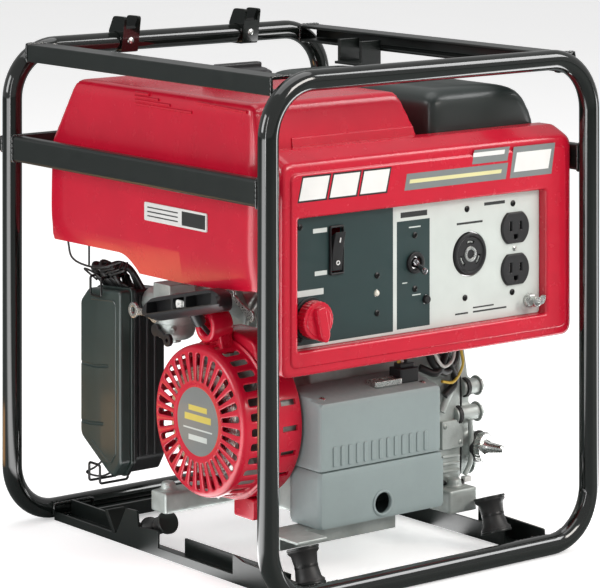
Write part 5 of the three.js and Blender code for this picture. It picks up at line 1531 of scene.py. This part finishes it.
def floor_look():
    """Near white to the camera. Mirrored in glossy paint it is dark, with painted reflections on it: two bright
    strips and an orange one that glow only for mirror rays, though they are no lamps.
    """
    n = Nodes("floor_with_painted_reflections")
    path = n.add("ShaderNodeLightPath")
    mirrored = path.outputs["Is Glossy Ray"]
    split = n.add("ShaderNodeSeparateXYZ", Vector=n.place)
    azimuth = n.math("ARCTAN2", split.outputs[1], split.outputs[0])
    distance = n.add("ShaderNodeVectorMath", {"operation": "LENGTH"})
    n.set(distance, "0", n.place)

    def sector(middle, half, soft, strength):
        """The strength inside a sector of the floor and zero outside, with a soft edge, all in degrees."""
        along = n.math("COSINE", n.math("SUBTRACT", azimuth, radians(middle)))
        return n.remap(along, cos(radians(half + soft)), cos(radians(half)), 0, strength)

    def ring(inner, outer, soft):
        """One between two distances in metres from the middle of the floor, with soft edges."""
        starts = n.remap(distance.outputs["Value"], inner - soft, inner, 0, 1)
        return n.math("MULTIPLY", starts, n.remap(distance.outputs["Value"], outer, outer + soft, 1, 0))

    # Painted reflections: two bright strips of floor glow for mirror rays only, giving the glossy tubes their
    # highlight streaks.
    painted_reflection_cards = n.math("ADD", sector(187, 10, 16, 4.5), sector(-30, 5, 4, 6.0))
    # Painted reflection: an orange glow on a ring of floor, seen only by mirror rays, tints the paint that mirrors
    # it.
    painted_warm_reflection = n.math("MULTIPLY", mirrored, n.math("MULTIPLY", sector(130, 9, 5, 2.2), ring(0.56, 0.80, 0.05)))
    pale = n.mix(n.noise(300, 3), (0.90, 0.90, 0.90), (0.94, 0.94, 0.94))
    # Painted reflection: the floor is dark grey only to mirror rays, so glossy paint mirrors it dark.
    n.shine(Base_Color=n.mix(mirrored, pale, (0.20, 0.22, 0.22)), Roughness=0.6)
    # The orange emission colour is the painted orange reflection.
    n.shine(Emission_Color=n.mix(n.math("GREATER_THAN", painted_warm_reflection, 0.01), (1.0, 1.0, 1.0), (1.0, 0.50, 0.16)))
    lift = n.math("MULTIPLY", path.outputs["Is Camera Ray"], 0.42)
    painted_streaks = n.math("MULTIPLY", mirrored, painted_reflection_cards)
    n.shine(Emission_Strength=n.math("ADD", lift, n.math("ADD", painted_streaks, painted_warm_reflection)))
    # The bright strips and the orange glow are painted reflections: emission on the floor that only mirror rays
    # see.
    n.material.cycles.emission_sampling = "NONE"  # only mirror rays see the cards, so they are no lamps
    return n.material


def product_camera():
    lens = bpy.data.cameras.new("camera")
    lens.lens = 181.67
    lens.sensor_width = 36
    lens.clip_end = 50
    camera = bpy.data.objects.new("camera", lens)
    camera.location = (-1.80568, -2.28398, 0.74703)
    camera.rotation_euler = (radians(90), 0, radians(-38.43))
    bpy.context.scene.collection.objects.link(camera)
    bpy.context.scene.camera = camera

    driver = lens.driver_add("shift_y").driver
    driver.type = "SUM"
    mode = driver.variables.new()
    mode.targets[0].id = camera
    mode.targets[0].data_path = "rotation_mode"
    curve = lens.animation_data.drivers[0]
    ramp = curve.modifiers[0] if curve.modifiers else curve.modifiers.new("GENERATOR")
    ramp.mode = "POLYNOMIAL"
    ramp.poly_order = 1
    ramp.coefficients = (0, -0.8939)


def set_world():
    """An even pale surround, white where the camera sees past the floor."""
    world = bpy.data.worlds.new("studio")
    bpy.context.scene.world = world
    world.use_nodes = True
    tree = world.node_tree
    background = tree.nodes["Background"]
    background.inputs["Color"].default_value = (1, 1, 1, 1)
    path = tree.nodes.new("ShaderNodeLightPath")
    strength = tree.nodes.new("ShaderNodeMapRange")
    tree.links.new(path.outputs["Is Camera Ray"], strength.inputs["Value"])
    strength.inputs["To Min"].default_value = 0.42
    strength.inputs["To Max"].default_value = 1.0
    tree.links.new(strength.outputs[0], background.inputs["Strength"])


def set_stage():
    """A pale floor, soft studio light and the camera at the product view."""
    half = 6.0
    floor_mesh = bpy.data.meshes.new("floor")
    corners = [(-half, -half, 0), (half, -half, 0), (half, half, 0), (-half, half, 0)]
    floor_mesh.from_pydata(corners, [], [(0, 1, 2, 3)])
    floor = bpy.data.objects.new("floor", floor_mesh)
    bpy.context.scene.collection.objects.link(floor)
    floor_mesh.materials.append(floor_look())

    set_world()

    middle = (0, 0, 0.22)
    key = area_light("key", (1.0, -2.7, 1.9), middle, (1.4, 1.0), 50)
    key.color = (1, 0.95, 0.90)
    area_light("side", (-2.9, 0.9, 1.3), middle, (1.3, 1.3), 34)
    area_light("top", (0, 0.2, 2.8), middle, (2.6, 2.6), 32)
    area_light("left_strip", (-2.6, -1.2, 0.8), middle, (0.16, 1.8), 9)
    area_light("right_box", (1.9, -1.4, 2.0), middle, (0.9, 0.9), 18)
    bpy.context.scene.view_settings.view_transform = "Standard"
    product_camera()


set_stage()
